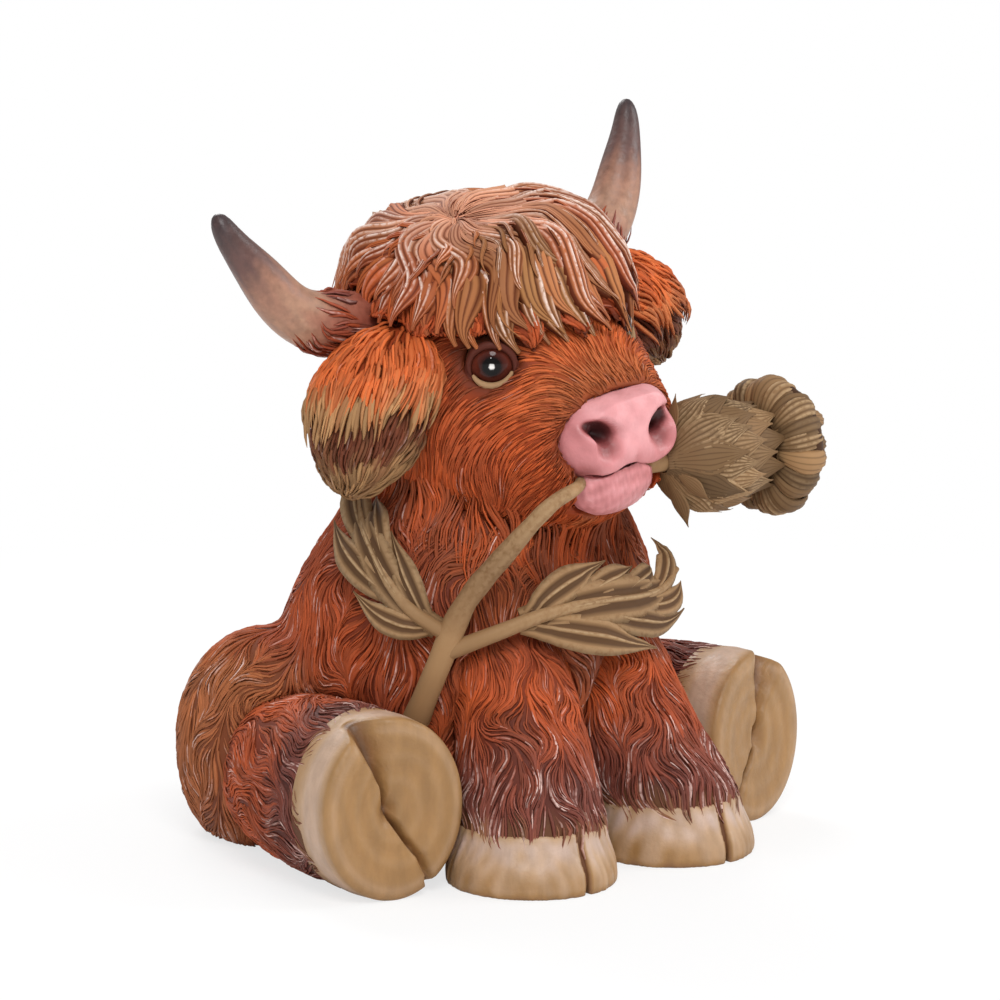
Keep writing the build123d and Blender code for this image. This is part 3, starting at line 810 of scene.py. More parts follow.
def hindAxes(side):
    hip, sole = bodyPoint(*leg["hip"], side), bodyPoint(*leg["sole"], side)
    axis = unit(sole - hip)
    across = squareTo(np.array((side, 0.0, 0.0)), axis)
    up = squareTo(np.array((0.0, 0.0, 1.0)), axis)
    return hip, sole, axis, across, squareTo(up, across)


def buildFrontLeg(name, side):
    def share(points):
        return 1 - (points[:, 2] - leg["frontHoofLine"]) / leg["frontLength"]

    def tuck(points, normals):
        return points - normals * (0.35 * smoothStep(points[:, 2], 12, 8))[:, None]

    growLeg(f"{name}_front_leg", bodyPoint(0.05, 0.25, -1, side), share, tuck, 0.85, 63 + side)


def buildHindLeg(name, side):
    hip, sole, axis, _, _ = hindAxes(side)
    length = np.linalg.norm(sole - hip) - leg["hindHoof"]

    def share(points):
        return ((points - hip) @ axis) / length

    def tuck(points, normals):
        along = (points - hip) @ axis
        pulled = np.maximum(along - length - 3, 0)[:, None] * 0.75 * axis
        return points - pulled - normals * (0.8 * smoothStep(along, length + 1, length + 4))[:, None]

    growLeg(f"{name}_hind_leg", axis + np.array((0, 0, -0.25)), share, tuck, 0.9, 71 + side)


for name, side in sides.items():
    buildFrontLeg(name, side)
    buildHindLeg(name, side)

# locks: an edge mesh carries each lock's width, side and colour, and a ribbed profile runs along it
lockProfile = profileObject("lockProfile", [
    (-1.0, -0.3, 0.0), (-0.75, 0.12, 0.5), (-0.5, 0.16, 0.02), (-0.25, 0.46, 0.7), (0.0, 0.4, 0.04),
    (0.2, 0.62, 1.0), (0.42, 0.36, 0.02), (0.62, 0.36, 0.65), (0.8, 0.1, 0.02), (1.0, -0.3, 0.0),
    (0.6, -0.4, 0.0), (-0.6, -0.4, 0.0)])
stalkSides = 14
stalkTurns = [math.tau * i / stalkSides for i in range(stalkSides)]
stalkProfile = profileObject("stalkProfile", [
    (math.sin(turn), math.cos(turn), 0.75 if i % 2 else 0.6) for i, turn in enumerate(stalkTurns)])


def lockTree():
    tree, take, result = newTree("lockSweep", {"Profile": "Object", "Paint": "Material"})
    sweepInto(tree, take, take["Geometry"], namedField(tree, "halfWidth"), result)
    return tree


lockSweep = lockTree()


def lockOf(points, lifts, widths, coat, tone=0.5, spark=0.0, frost=0.0):
    count = len(points)
    along = unit(np.gradient(points, axis=0))
    return {"points": points, "lift": squareTo(np.broadcast_to(lifts, points.shape), along),
            "coat": np.column_stack([np.broadcast_to(coat, (count, 3)), np.ones(count)]),
            "halfWidth": widths * mm, "along": np.linspace(0, 1, count), "tone": np.full(count, tone),
            "spark": np.full(count, spark), "frost": np.broadcast_to(frost, count)}


def sweepLocks(name, locks, material, profile=lockProfile):
    edges, start = [], 0
    for lock in locks:
        count = len(lock["points"])
        edges += [(start + i, start + i + 1) for i in range(count - 1)]
        start += count
    mesh = bpy.data.meshes.new(name)
    mesh.from_pydata([tuple(p * mm) for lock in locks for p in lock["points"]], edges, [])
    kinds = {"lift": "FLOAT_VECTOR", "coat": "FLOAT_COLOR"}
    for key in ("lift", "halfWidth", "coat", "along", "tone", "spark", "frost"):
        setAttribute(mesh, key, np.concatenate([lock[key] for lock in locks]), kinds.get(key, "FLOAT"))
    obj = newPiece(name, mesh)
    growOn(obj, lockSweep, {"Profile": profile, "Paint": material})
    settle(obj)
    dropSpare(obj.data)
    return obj


# forelock: locks run from a whorl over the cap; places on it are (out, forward) shares of the way down
forelockPaint = hairMaterial("forelockPaint", (0.25, 0.13, 0.09), (0.86, 0.68, 0.60))
forelock = {"whorl": np.array((-0.17, 0.09)), "middle": 0.5, "steps": 30, "seed": 81, "sink": 1.6,
            "capWaves": {"bend": 0.4, "length": 10.0}, "curls": 1.45, "curlLift": 0.7,
            "cap": [(0, 37.6), (9, 36.9), (17, 34.9), (25, 30.2), (30.5, 24.4), (33.4, 18.0), (34.2, 8.0)],
            "overLeftEye": {"turn": 0.8, "longer": 0.08}, "overRightEye": {"turn": 5.65, "longer": -0.04},
            "layers": [{"count": 44, "offset": -0.6, "reach": (0.98, 1.05), "width": 4.0, "wave": 0.06},
                       {"count": 34, "offset": 0.6, "reach": (0.88, 1.03), "width": 3.6, "wave": 0.08},
                       {"count": 26, "offset": 1.6, "reach": (0.66, 1.0), "width": 3.0, "wave": 0.095},
                       {"count": 78, "offset": 1.9, "reach": (0.5, 1.0), "width": 0.75, "wave": 0.09}],
            "root": np.array((0.70, 0.33, 0.21)),
            "colours": [(0.42, 0.105, 0.032), (0.38, 0.14, 0.044), (0.36, 0.155, 0.05), (0.44, 0.165, 0.062)],
            "coats": {"undercoat": coatOf(0.5, 0.8, 5.0, 1.1, 0.5, seed=83)}}


def onCap(places, offset):
    cap = np.array(forelock["cap"], dtype=float)
    runs = np.concatenate([[0], np.cumsum(np.linalg.norm(np.diff(cap, axis=0), axis=1))])
    share = np.linalg.norm(places, axis=1) * runs[-1]
    radius = np.interp(share, runs, cap[:, 0]) + offset * smoothStep(share, 0, 12)
    turn = np.arctan2(places[:, 0], places[:, 1])
    height = np.interp(share, runs, cap[:, 1]) + offset * smoothStep(share, 45, 20)
    return fromHead(radius * np.sin(turn), forelock["middle"] + radius * np.cos(turn), height)


def buildCap():
    skin = skinOf("forelock_cap", ["forelock"], 1.2)
    points, normals = surface(skin)
    points = points - normals * forelock["sink"]
    writePoints(skin, points)
    above = inHead(points)[2]
    fromWhorl = squareTo(points - onCap(forelock["whorl"][None], 0), normals)
    flow = turnFlow(fromWhorl, points, normals, forelock["capWaves"], 84)
    # the cap's lower rim is painted dark brown as painted shadow, a shade gap under the fringe
    coat = layered(paints["orange"], (paints["rust"], 0.4 + 0.4 * waveField(points, 9, 82)),
                   (paints["brown"], 0.85 * smoothStep(above, 17, 12)))
    combSkin(skin, flow, coat, 0.05, smoothStep(above, 27, 22) * smoothStep(above, 14, 17))
    growCoats("forelock_cap", skin, forelock, "forelock_resin")
    finishSkin(skin, "forelock_resin", "forelock")


# how far a lock comes down the cap, in each direction from the crown
def fringeReach(turn):
    beside, ahead = math.sin(turn), math.cos(turn)
    reach = 0.91 + 0.05 * beside - 0.14 * beside ** 2 + 0.14 * abs(beside) * max(0, ahead)
    for place in (forelock["overLeftEye"], forelock["overRightEye"]):
        reach += place["longer"] * math.exp(-((turn - place["turn"]) / 0.3) ** 2)
    return reach


def forelockLock(draw, layer, index):
    turn = math.tau * (index + draw.uniform(-0.35, 0.35)) / layer["count"]
    beside, ahead = math.sin(turn), math.cos(turn)
    whorl = forelock["whorl"]
    end = fringeReach(turn) * draw.uniform(*layer["reach"]) * np.array((beside, ahead))
    t = np.linspace(draw.uniform(0.0, 0.1), 1, forelock["steps"])
    across = np.array((whorl[1] - end[1], end[0] - whorl[0]))
    curl = math.tau * forelock["curls"] * t + (1.4 * math.sin(2 * turn + 0.7) + draw.uniform(-0.7, 0.7))
    wave = layer["wave"] * np.sin(curl) * smoothStep(t, 0.05, 0.4)
    bow = -0.08 * beside * np.sin(math.pi * t)
    places = whorl + (end - whorl) * t[:, None] + across * (wave + bow)[:, None]
    buried = 1.8 * (1 - smoothStep(t, 0.02, 0.22))
    points = onCap(places, layer["offset"] - buried + forelock["curlLift"] * np.sin(curl + 1.2))
    widths = layer["width"] * draw.uniform(0.75, 1.2) * (0.25 + 0.75 * smoothStep(t, 0, 0.45))
    widths = widths * (1 - 0.88 * smoothStep(t, 0.66, 1.0))
    colour = np.array(forelock["colours"][draw.integers(len(forelock["colours"]))])
    lower = smoothStep(t, 0.3, 0.8)
    coat = layered(forelock["root"], (colour, 0.25 + 0.75 * smoothStep(t, 0.2, 0.65)),
                   (paints["tan"], draw.uniform(0.0, 0.45) * lower),
                   (paints["orange"], 0.7 * beside ** 2 * lower))
    lifts = points - headPoint(0, 0, 8)
    return lockOf(points, lifts, widths, coat, draw.uniform(0, 1), draw.uniform(0, 1), 0.9 - 0.3 * t)


def buildForelock():
    draw = np.random.default_rng(forelock["seed"])
    locks = [forelockLock(draw, layer, i) for layer in forelock["layers"] for i in range(layer["count"])]
    finishPiece(sweepLocks("forelock_locks", locks, forelockPaint), "forelock_resin")


buildCap()
buildForelock()


# painted surfaces with a ramp over one attribute
def noiseBlend(tree, low, high, scale, stretch=(1, 1, 1)):
    mapped = addNode(tree, "ShaderNodeMapping", {"Vector": objectPlace(tree), "Scale": stretch})
    inputs = {"Vector": mapped.outputs[0], "Scale": scale, "Detail": 4.0}
    noise = addNode(tree, "ShaderNodeTexNoise", inputs).outputs[0]
    return mapRange(tree, noise, 0.35, 0.65, low, high)


def bumpNode(tree, height, strength, distance):
    inputs = {"Height": height, "Strength": strength, "Distance": distance}
    return addNode(tree, "ShaderNodeBump", inputs).outputs[0]


def colourRamp(tree, value, stops):
    ramp = addNode(tree, "ShaderNodeValToRGB", {"Fac": value})
    while len(ramp.color_ramp.elements) < len(stops):
        ramp.color_ramp.elements.new(0.5)
    for element, (place, colour) in zip(ramp.color_ramp.elements, stops):
        element.position = place
        element.color = (*colour, 1)
    return ramp.outputs[0]


def rampMaterial(name, attribute, stops, grain, roughness, bump):
    material, tree, paint = newMaterial(name)
    value = addNode(tree, "ShaderNodeAttribute", attribute_name=attribute).outputs["Fac"]
    shade = noiseBlend(tree, *grain["range"], grain["scale"], grain.get("stretch", (1, 1, 1)))
    setInputs(tree, paint, {
        "Base Color": vectorNode(tree, "SCALE", colourRamp(tree, value, stops), shade),
        "Roughness": noiseBlend(tree, roughness - 0.08, roughness + 0.08, grain["scale"]),
        "Normal": bumpNode(tree, noiseBlend(tree, 0, 1, bump["scale"]), bump["strength"], 0.0004)})
    return material


horn = {"voxel": 0.8, "hidden": 0.22, "waves": {"bend": 0.4, "length": 9.0},
        "points": [(18.5, -6.0, 14.9), (23.0, -6.0, 16.0), (35.2, -6.0, 19.0), (44.3, -6.5, 22.2),
                   (50.3, -7.5, 28.2), (54.9, -9.0, 36.0), (58.2, -10.5, 42.0), (60.0, -11.6, 46.6),
                   (60.6, -12.0, 48.4)],
        "stops": [(0.0, (0.26, 0.06, 0.035)), (0.16, (0.32, 0.11, 0.07)), (0.36, (0.38, 0.21, 0.135)),
                  (0.55, (0.32, 0.155, 0.10)), (0.72, (0.12, 0.055, 0.045)), (1.0, (0.035, 0.02, 0.022))],
        "coats": {"sleeve": coatOf(0.9, 0.6, 8.0, 0.9, 0.5, seed=85)}}
hornPaint = rampMaterial("hornPaint", "along", horn["stops"], {"range": (0.85, 1.15), "scale": 500.0}, 0.45,
                         {"scale": 700.0, "strength": 0.15})


# fur runs out over the horn's root, further on its underside
def buildHorn(name, side):
    skin = skinOf(f"{name}_horn_shell", [f"{name}_horn"], horn["voxel"])
    points, normals = surface(skin)
    line = smoothLine([headPoint(*p, side) for p in horn["points"]], 40)
    share, flow = followLine(points, normals, line)
    along = np.clip((share - horn["hidden"]) / (1 - horn["hidden"]), 0, 1)
    under = 0.5 - 0.5 * (normals @ headTurn(0, 0, 1, side))
    ragged = along + 0.05 * waveField(points, 7, 87)
    furred = 1 - smoothStep(ragged, 0.02 + 0.1 * under, 0.1 + 0.16 * under)
    coat = layered(paints["plum"] * 1.3, (paints["rust"], 0.5 + 0.5 * waveField(points, 8, 89)))
    combSkin(skin, turnFlow(flow, points, normals, horn["waves"], 88), coat, 0.35,
             furred * openShare(points, ["head", "forelock"], 0.3, 1.0))
    growCoats(f"{name}_horn", skin, dict(horn, seed=side))
    streaks = waveField(normals * 6, 3.5, 90)
    setAttribute(skin.data, "along", np.clip(along + 0.05 * streaks, 0, 1))
    dropSpare(skin.data)
    finishPiece(skin, "horn_resin", f"{name}_horn", paint=hornPaint)


for name, side in sides.items():
    buildHorn(name, side)

hoofStops = [(0.0, (0.07, 0.03, 0.012)), (0.2, (0.22, 0.10, 0.035)), (0.45, (0.32, 0.172, 0.062)),
             (0.7, (0.44, 0.28, 0.165)), (1.0, (0.54, 0.40, 0.34))]
hoofGrain = {"range": (0.9, 1.1), "scale": 350.0, "stretch": (1, 1, 0.3)}
hoofPaint = rampMaterial("hoofPaint", "pale", hoofStops, hoofGrain, 0.5, {"scale": 600.0, "strength": 0.2})
frontHoof = {"voxel": 0.6, "smoothing": 4, "swell": 0.35, "streak": 0.10, "middle": (21.0, 47.5)}


def buildFrontHoof(name, side):
    node = f"{name}_front_hoof"
    skin = skinOf(f"{node}_shell", [node], frontHoof["voxel"], frontHoof["smoothing"])
    points, normals = surface(skin)
    beside = np.abs(points[:, 0] - side * frontHoof["middle"][0])
    ahead = -points[:, 1] - frontHoof["middle"][1]
    cleft = (1 - smoothStep(beside, 0.7, 1.5)) * smoothStep(ahead, 6, 9)
    streaks = waveField(points * np.array((1, 1, 0.15)), 2.6, 91)
    points = points + normals * (frontHoof["swell"] + frontHoof["streak"] * streaks)[:, None]
    points[:, 2] = np.maximum(points[:, 2], 0)
    writePoints(skin, points)
    height = points[:, 2]
    pale = 0.56 + 0.28 * smoothStep(height, 3, 10) + 0.08 * streaks
    # darker towards the floor, and painted shade at the top of the wall where the hair overhangs it
    pale = pale - 0.2 * smoothStep(height, 2, 0) - 0.3 * smoothStep(height, 10.5, 14)
    setAttribute(skin.data, "pale", np.clip(pale, 0.15, 1) * (1 - 0.95 * cleft))
    finishPiece(skin, "hoof_resin", node, paint=hoofPaint)


for name, side in sides.items():
    buildFrontHoof(name, side)

# hind hoof: a turned shell, sole to the front; cleft and pit are (out, up) shares of the sole's half sizes
hindHoof = {"radii": [(17.3, 19.9), (17.5, 20.1), (17.0, 19.7)], "rim": 2.6, "turns": 128, "rings": 46,
            "wallRows": 14, "rimRows": 6,
            "cleft": [(-0.5, -0.95), (-0.44, -0.76), (-0.33, -0.55), (-0.15, -0.35), (0.03, -0.12),
                      (0.13, 0.12), (0.15, 0.27), (0.28, 0.59), (0.44, 0.92), (0.5, 1.05)],
            "cleftHalf": 0.035, "cleftDepth": 3.4, "dish": 1.0, "ringDepth": 0.12,
            "pit": {"place": (0.06, 0.0), "half": (0.1, 0.13), "depth": 0.9}}


# rows of the shell from the leg to the middle of the sole: half sizes, and the distance behind the sole
def hoofRows():
    rim, edge = hindHoof["rim"], np.array(hindHoof["radii"][-1])
    rows = []
    for step in np.linspace(0, 1, hindHoof["wallRows"]):
        sizes = [np.interp(step, [0, 0.5, 1], radii) for radii in zip(*hindHoof["radii"])]
        rows.append((np.array(sizes), (1 - step) * leg["hindHoof"] + 0.6 * rim))
    for bend in np.linspace(0, math.pi / 2, hindHoof["rimRows"])[1:]:
        rows.append((edge - rim * (1 - math.cos(bend)), 0.6 * rim * (1 - math.sin(bend))))
    for step in np.linspace(1, 0.012, hindHoof["rings"])[1:]:
        rows.append(((edge - rim) * step, 0.0))
    return rows


# depth and paleness of the carved sole
def hoofRelief(out, up, behind):
    places, heights = np.array(hindHoof["cleft"]).T
    gap = out - np.interp(up, heights, places)
    half = hindHoof["cleftHalf"] * (1 + 4.0 * smoothStep(up, 0.2, 0.95)) * np.where(gap > 0, 0.8, 1.9)
    cut = np.exp(-(gap / half) ** 2) * (1 + 0.8 * smoothStep(up, 0.2, 0.9))
    radius = np.hypot(out, up)
    front = smoothStep(behind, 11, 1)
    ringed = np.sin(radius * 24 + 2.5 * out) * smoothStep(radius, 0.86, 0.7) * front
    (pitOut, pitUp), (pitWide, pitTall) = hindHoof["pit"]["place"], hindHoof["pit"]["half"]
    pit = np.exp(-((out - pitOut) / pitWide) ** 2 - ((up - pitUp) / pitTall) ** 2) * front
    carved = hindHoof["cleftDepth"] * np.maximum(cut, hindHoof["pit"]["depth"] * pit)
    dish = hindHoof["dish"] * smoothStep(radius, 0.88, 0.3)
    depth = (carved + dish) * front - hindHoof["ringDepth"] * ringed
    # the wall is paler towards the sole, with painted shade where it meets the hair
    pale = 0.45 + 0.36 * smoothStep(behind, 0.8, 4.5) - 0.3 * smoothStep(behind, 8, 13)
    # a painted highlight: a pale ring along the sole's rim
    pale = pale + 0.12 * np.exp(-((radius - 0.88) / 0.05) ** 2) * front + 0.03 * ringed
    groove = np.exp(-(gap / (0.55 * half)) ** 2) * front
    return depth, np.clip(pale * (1 - 0.85 * groove) * (1 - 0.35 * pit), 0, 1)


def buildHindHooves():
    rows, turns = hoofRows(), hindHoof["turns"]
    angles = np.linspace(0, math.tau, turns, endpoint=False)
    circle = np.column_stack([np.cos(angles), np.sin(angles)])
    flat = np.concatenate([circle * sizes for sizes, _ in rows])
    behind = np.repeat([back for _, back in rows], turns)
    depth, pale = hoofRelief(*(flat / np.array(hindHoof["radii"][-1])).T, behind)
    middle = tuple(range((len(rows) - 1) * turns, len(rows) * turns))
    faces = ringFaces(len(rows), turns) + [middle]
    for name, side in sides.items():
        _, sole, axis, across, up = hindAxes(side)
        points = sole + flat[:, :1] * across + flat[:, 1:] * up - (behind + depth)[:, None] * axis
        points[:, 2] = np.maximum(points[:, 2], 0)
        mesh = meshOf(f"{name}_hind_hoof_shell", points * mm, faces)
        setAttribute(mesh, "pale", pale)
        if np.cross(across, up) @ axis < 0:
            mesh.flip_normals()
        finishPiece(newPiece(mesh.name, mesh), "hoof_resin", f"{name}_hind_hoof", paint=hoofPaint)


buildHindHooves()


# thistle: places are (along its axis, radius, turn); scales, petals, stem and leaf lobes are swept like locks
def ribbedProfile(name, ribCount, depth, curl):
    across = np.linspace(-1, 1, 2 * ribCount + 1)
    top = [(v, depth * (i % 2) - curl * v * v, 0.85 if i % 2 else 0.25) for i, v in enumerate(across)]
    for end in (0, -1):
        top[end] = (*top[end][:2], 0.7)
    under = [(v, -0.2 - curl * 0.36, 0.0) for v in (0.6, -0.6)]
    return profileObject(name, top + under)


thistlePaint = hairMaterial("thistlePaint", (0.22, 0.15, 0.11), (0.46, 0.31, 0.17))
scaleProfile = ribbedProfile("scaleProfile", 7, 0.09, 0.22)
petalProfile = ribbedProfile("petalProfile", 4, 0.12, 0.45)
leafProfile = profileObject("leafProfile", [
    (-1.0, 0.0, 0.75), (-0.6, 0.14, 0.5), (-0.38, 0.05, 0.08), (-0.14, 0.1, 0.12), (0.0, 0.3, 1.0),
    (0.14, 0.1, 0.12), (0.38, 0.05, 0.08), (0.6, 0.14, 0.5), (1.0, 0.0, 0.75), (0.55, -0.16, 0.0),
    (-0.55, -0.16, 0.0)])
thistle = {"base": (13.0, 42.0, -18.2), "droop": math.radians(8.5), "voxel": 0.9, "seed": 101,
           "khaki": np.array((0.17, 0.085, 0.035)), "ochre": np.array((0.265, 0.15, 0.068)),
           "bulb": [(-1.0, 3.0), (0.0, 4.5), (2.5, 8.4), (8.0, 11.8), (15.0, 12.2), (23.0, 9.8), (30.0, 8.6)],
           "petal": [(27.0, 7.4), (27.0, 10.0), (27.8, 13.0), (29.8, 15.0), (32.8, 15.4), (35.6, 14.4),
                     (37.6, 12.4)]}
thistleBase = headPoint(*thistle["base"])
thistleAxis = headTurn(math.cos(thistle["droop"]), 0, -math.sin(thistle["droop"]))
thistleUp = squareTo(headTurn(0, 0, 1), thistleAxis)
thistleSide = np.cross(thistleAxis, thistleUp)


def thistlePoints(along, radius, turn):
    around = np.cos(turn)[:, None] * thistleUp + np.sin(turn)[:, None] * thistleSide
    return thistleBase + along[:, None] * thistleAxis + radius[:, None] * around, around


# half width of a pointed blade along its length
def bladeWidths(t, half, base=0.6, taper=0.55):
    return half * (base + (1 - base) * smoothStep(t, 0, 0.5)) * (1 - 0.96 * smoothStep(t, taper, 1.02))


def buildCore(node, sink, colour):
    skin = skinOf(f"{node}_core", [node], thistle["voxel"])
    points, normals = surface(skin)
    writePoints(skin, points - normals * sink)
    setCoat(skin.data, colour)
    finishPiece(skin, "thistle_resin", node, paint=thistlePaint)


bract = {"length": 14.5, "half": 4.7, "steps": 14, "lift": 1.7, "taper": 0.3, "sink": 1.4,
         "rows": [{"start": -1.2, "count": 9}, {"start": 1.6, "count": 10}, {"start": 5.4, "count": 10},
                  {"start": 9.6, "count": 10}, {"start": 14.0, "count": 10}]}
spikes = [{"turn": 3.0, "half": 2.6, "out": 8.5, "along": 5.0},
          {"turn": 0.1, "half": 1.7, "out": 8.0, "along": 1.0},
          {"turn": 4.6, "half": 2.0, "out": 6.0, "along": 3.0},
          {"turn": 2.2, "half": 2.0, "out": 6.0, "along": 3.0}]


def buildBulb():
    buildCore("thistle_bulb", bract["sink"], thistle["khaki"])
    draw = np.random.default_rng(thistle["seed"])
    profile = np.array(thistle["bulb"])
    t = np.linspace(0, 1, bract["steps"])
    locks = []
    for rank, row in enumerate(bract["rows"]):
        for index in range(row["count"]):
            turn = math.tau * (index + 0.5 * (rank % 2) + draw.uniform(-0.12, 0.12)) / row["count"]
            along = row["start"] + draw.uniform(-0.5, 0.5) + bract["length"] * t
            radius = np.interp(along, profile[:, 0], profile[:, 1]) - 0.5 + bract["lift"] * t
            points, lifts = thistlePoints(along, radius, np.full(len(t), turn))
            widths = bladeWidths(t, bract["half"] * draw.uniform(0.9, 1.1), 0.4, bract["taper"])
            coat = thistle["ochre"] * draw.uniform(0.5, 0.95)
            locks.append(lockOf(points, lifts, widths, coat, draw.uniform(0, 1), draw.uniform(0, 1), 0.5))
    for spike in spikes:
        radius = 4 + (3 + spike["out"]) * t
        points, _ = thistlePoints(spike["along"] * t, radius, np.full(len(t), spike["turn"]))
        widths = bladeWidths(t, spike["half"], 0.25)
        locks.append(lockOf(points, -thistleAxis, widths, thistle["ochre"] * 0.8))
    finishPiece(sweepLocks("thistle_bracts", locks, thistlePaint, scaleProfile), "thistle_resin")


petals = {"steps": 18, "sink": 1.6, "centre": 32.0,
          "rings": [{"count": 22, "inward": 0.0, "rise": 0.0, "half": 2.7},
                    {"count": 18, "inward": -2.6, "rise": 3.0, "half": 2.4},
                    {"count": 14, "inward": -6.0, "rise": 4.2, "half": 2.3},
                    {"count": 8, "inward": -9.4, "rise": 4.8, "half": 2.2},
                    {"count": 5, "inward": -12.4, "rise": 5.0, "half": 2.0}]}


def buildFlower():
    buildCore("thistle_flower", petals["sink"], thistle["ochre"] * 0.9)
    draw = np.random.default_rng(thistle["seed"] + 1)
    a, r = smoothLine(thistle["petal"], petals["steps"]).T
    t = np.linspace(0, 1, petals["steps"])
    swell = 0.5 + 0.55 * smoothStep(t, 0, 0.5) - 0.4 * smoothStep(t, 0.8, 1)
    centre = thistleBase + petals["centre"] * thistleAxis
    locks = []
    for ring in petals["rings"]:
        for index in range(ring["count"]):
            turn = math.tau * (index + draw.uniform(-0.2, 0.2)) / ring["count"]
            flare, lean, push = draw.uniform(0.93, 1.05), draw.uniform(-0.15, 0.15), draw.uniform(-1.0, 0.8)
            radius = np.maximum(1.0, (r + ring["inward"] * t) * flare)
            points, _ = thistlePoints(a + push * t + ring["rise"] * t, radius, turn + lean * t)
            widths = ring["half"] * draw.uniform(0.8, 1.2) * swell
            coat = thistle["ochre"] * draw.uniform(0.55, 1.05)
            tone, spark = draw.uniform(0, 1), draw.uniform(0, 1)
            locks.append(lockOf(points, points - centre, widths, coat, tone, spark, 0.45))
    finishPiece(sweepLocks("thistle_petals", locks, thistlePaint, petalProfile), "thistle_resin")


buildBulb()
buildFlower()

# inside the mouth the stem runs behind the lip to the bulb
stem = {"points": [(-36.4, 27.3, 34.6), (-34.4, 32.4, 46.9), (-30.6, 36.8, 60.5), (-24.9, 45.0, 73.0),
                   (-20.0, 52.0, 82.4)],
        "mouth": [(-14.4, 43.4, -16.4), (-8.0, 37.5, -16.2), (0.5, 39.6, -16.6), (7.0, 41.8, -17.3),
                  (13.5, 42.1, -18.2)],
        "steps": 80, "radii": [3.1, 2.8, 2.5, 2.1, 1.7, 1.4, 1.3, 1.9, 2.4, 2.6], "faces": (-0.6, -0.75, 0.3)}


def buildStem():
    places = [bodyPoint(*p) for p in stem["points"]] + [headPoint(*p) for p in stem["mouth"]]
    points = smoothLine(places, stem["steps"])
    t = np.linspace(0, 1, stem["steps"])
    radii = np.interp(t, np.linspace(0, 1, len(stem["radii"])), stem["radii"])
    widths = radii + 0.15 * waveField(points, 9, 111)
    coat = layered(thistle["khaki"], (thistle["ochre"] * 1.25, 0.6 + 0.5 * waveField(points, 7, 113)))
    lock = lockOf(points, np.array(stem["faces"]), widths, coat, 0.5, 0.9, 0.3)
    stalk = sweepLocks("thistle_stem_stalk", [lock], thistlePaint, stalkProfile)
    finishPiece(stalk, "thistle_resin", "thistle_stem")


buildStem()

# leaves: lobes are lines of (share along the midrib, mm to its outer side), with a half width
leaves = {
    "chest_leaf": {
        "points": [(-33.0, 34.0, 50.0), (-24.5, 40.5, 54.0), (-14.5, 44.5, 57.2), (-2.0, 47.5, 58.8),
                   (10.0, 47.5, 58.6), (19.5, 45.5, 59.0), (27.0, 42.5, 62.5)],
        "faces": (-0.1, -1.0, 0.3), "rib": (2.0, 0.7), "seed": 121,
        "lobes": [([(0.26, 0.0), (0.44, 0.0), (0.72, 0.0), (0.98, 1.0)], 5.4),
                  ([(0.26, 0.0), (0.38, -4.4), (0.54, -8.6), (0.725, -12.0)], 4.4),
                  ([(0.42, 0.0), (0.58, -4.0), (0.74, -6.6), (0.895, -7.4)], 3.6),
                  ([(0.60, 0.0), (0.74, -2.4), (0.88, -3.6), (0.99, -3.2)], 3.0),
                  ([(0.28, 0.0), (0.36, 3.6), (0.45, 6.2), (0.565, 8.8)], 3.8),
                  ([(0.43, 0.0), (0.51, 3.2), (0.60, 5.2), (0.69, 6.8)], 3.2),
                  ([(0.58, 0.0), (0.66, 2.8), (0.76, 4.6), (0.85, 5.8)], 3.0),
                  ([(0.74, 0.0), (0.88, 1.6), (0.98, 4.0), (1.0, 9.0)], 3.4)]},
    "neck_leaf": {
        "points": [(-33.4, 33.2, 54.0), (-38.0, 28.5, 58.5), (-40.2, 23.6, 64.0), (-39.8, 17.6, 70.0),
                   (-37.4, 11.0, 75.5), (-34.6, 6.4, 80.5), (-32.6, 4.4, 85.0)],
        "faces": (-0.85, -0.45, 0.3), "rib": (1.7, 0.6), "seed": 122,
        "lobes": [([(0.04, 0.0), (0.3, 0.0), (0.6, 0.0), (0.9, 0.0)], 4.2),
                  ([(0.05, 0.0), (0.14, 3.0), (0.26, 6.0), (0.42, 8.2)], 3.2),
                  ([(0.26, 0.0), (0.40, 3.2), (0.58, 5.6), (0.76, 6.8)], 3.6),
                  ([(0.08, 0.0), (0.22, -2.6), (0.38, -4.4), (0.56, -5.4)], 3.2),
                  ([(0.36, 0.0), (0.52, -2.2), (0.68, -3.6), (0.82, -3.8)], 3.2),
                  ([(0.48, 0.0), (0.68, 0.6), (0.86, 0.8), (1.0, 0.2)], 3.8)]},
}
leafLook = {"steps": 18, "spineSteps": 200, "ribEvery": 4, "ribLift": 0.5, "arch": 1.4, "sink": 0.5}


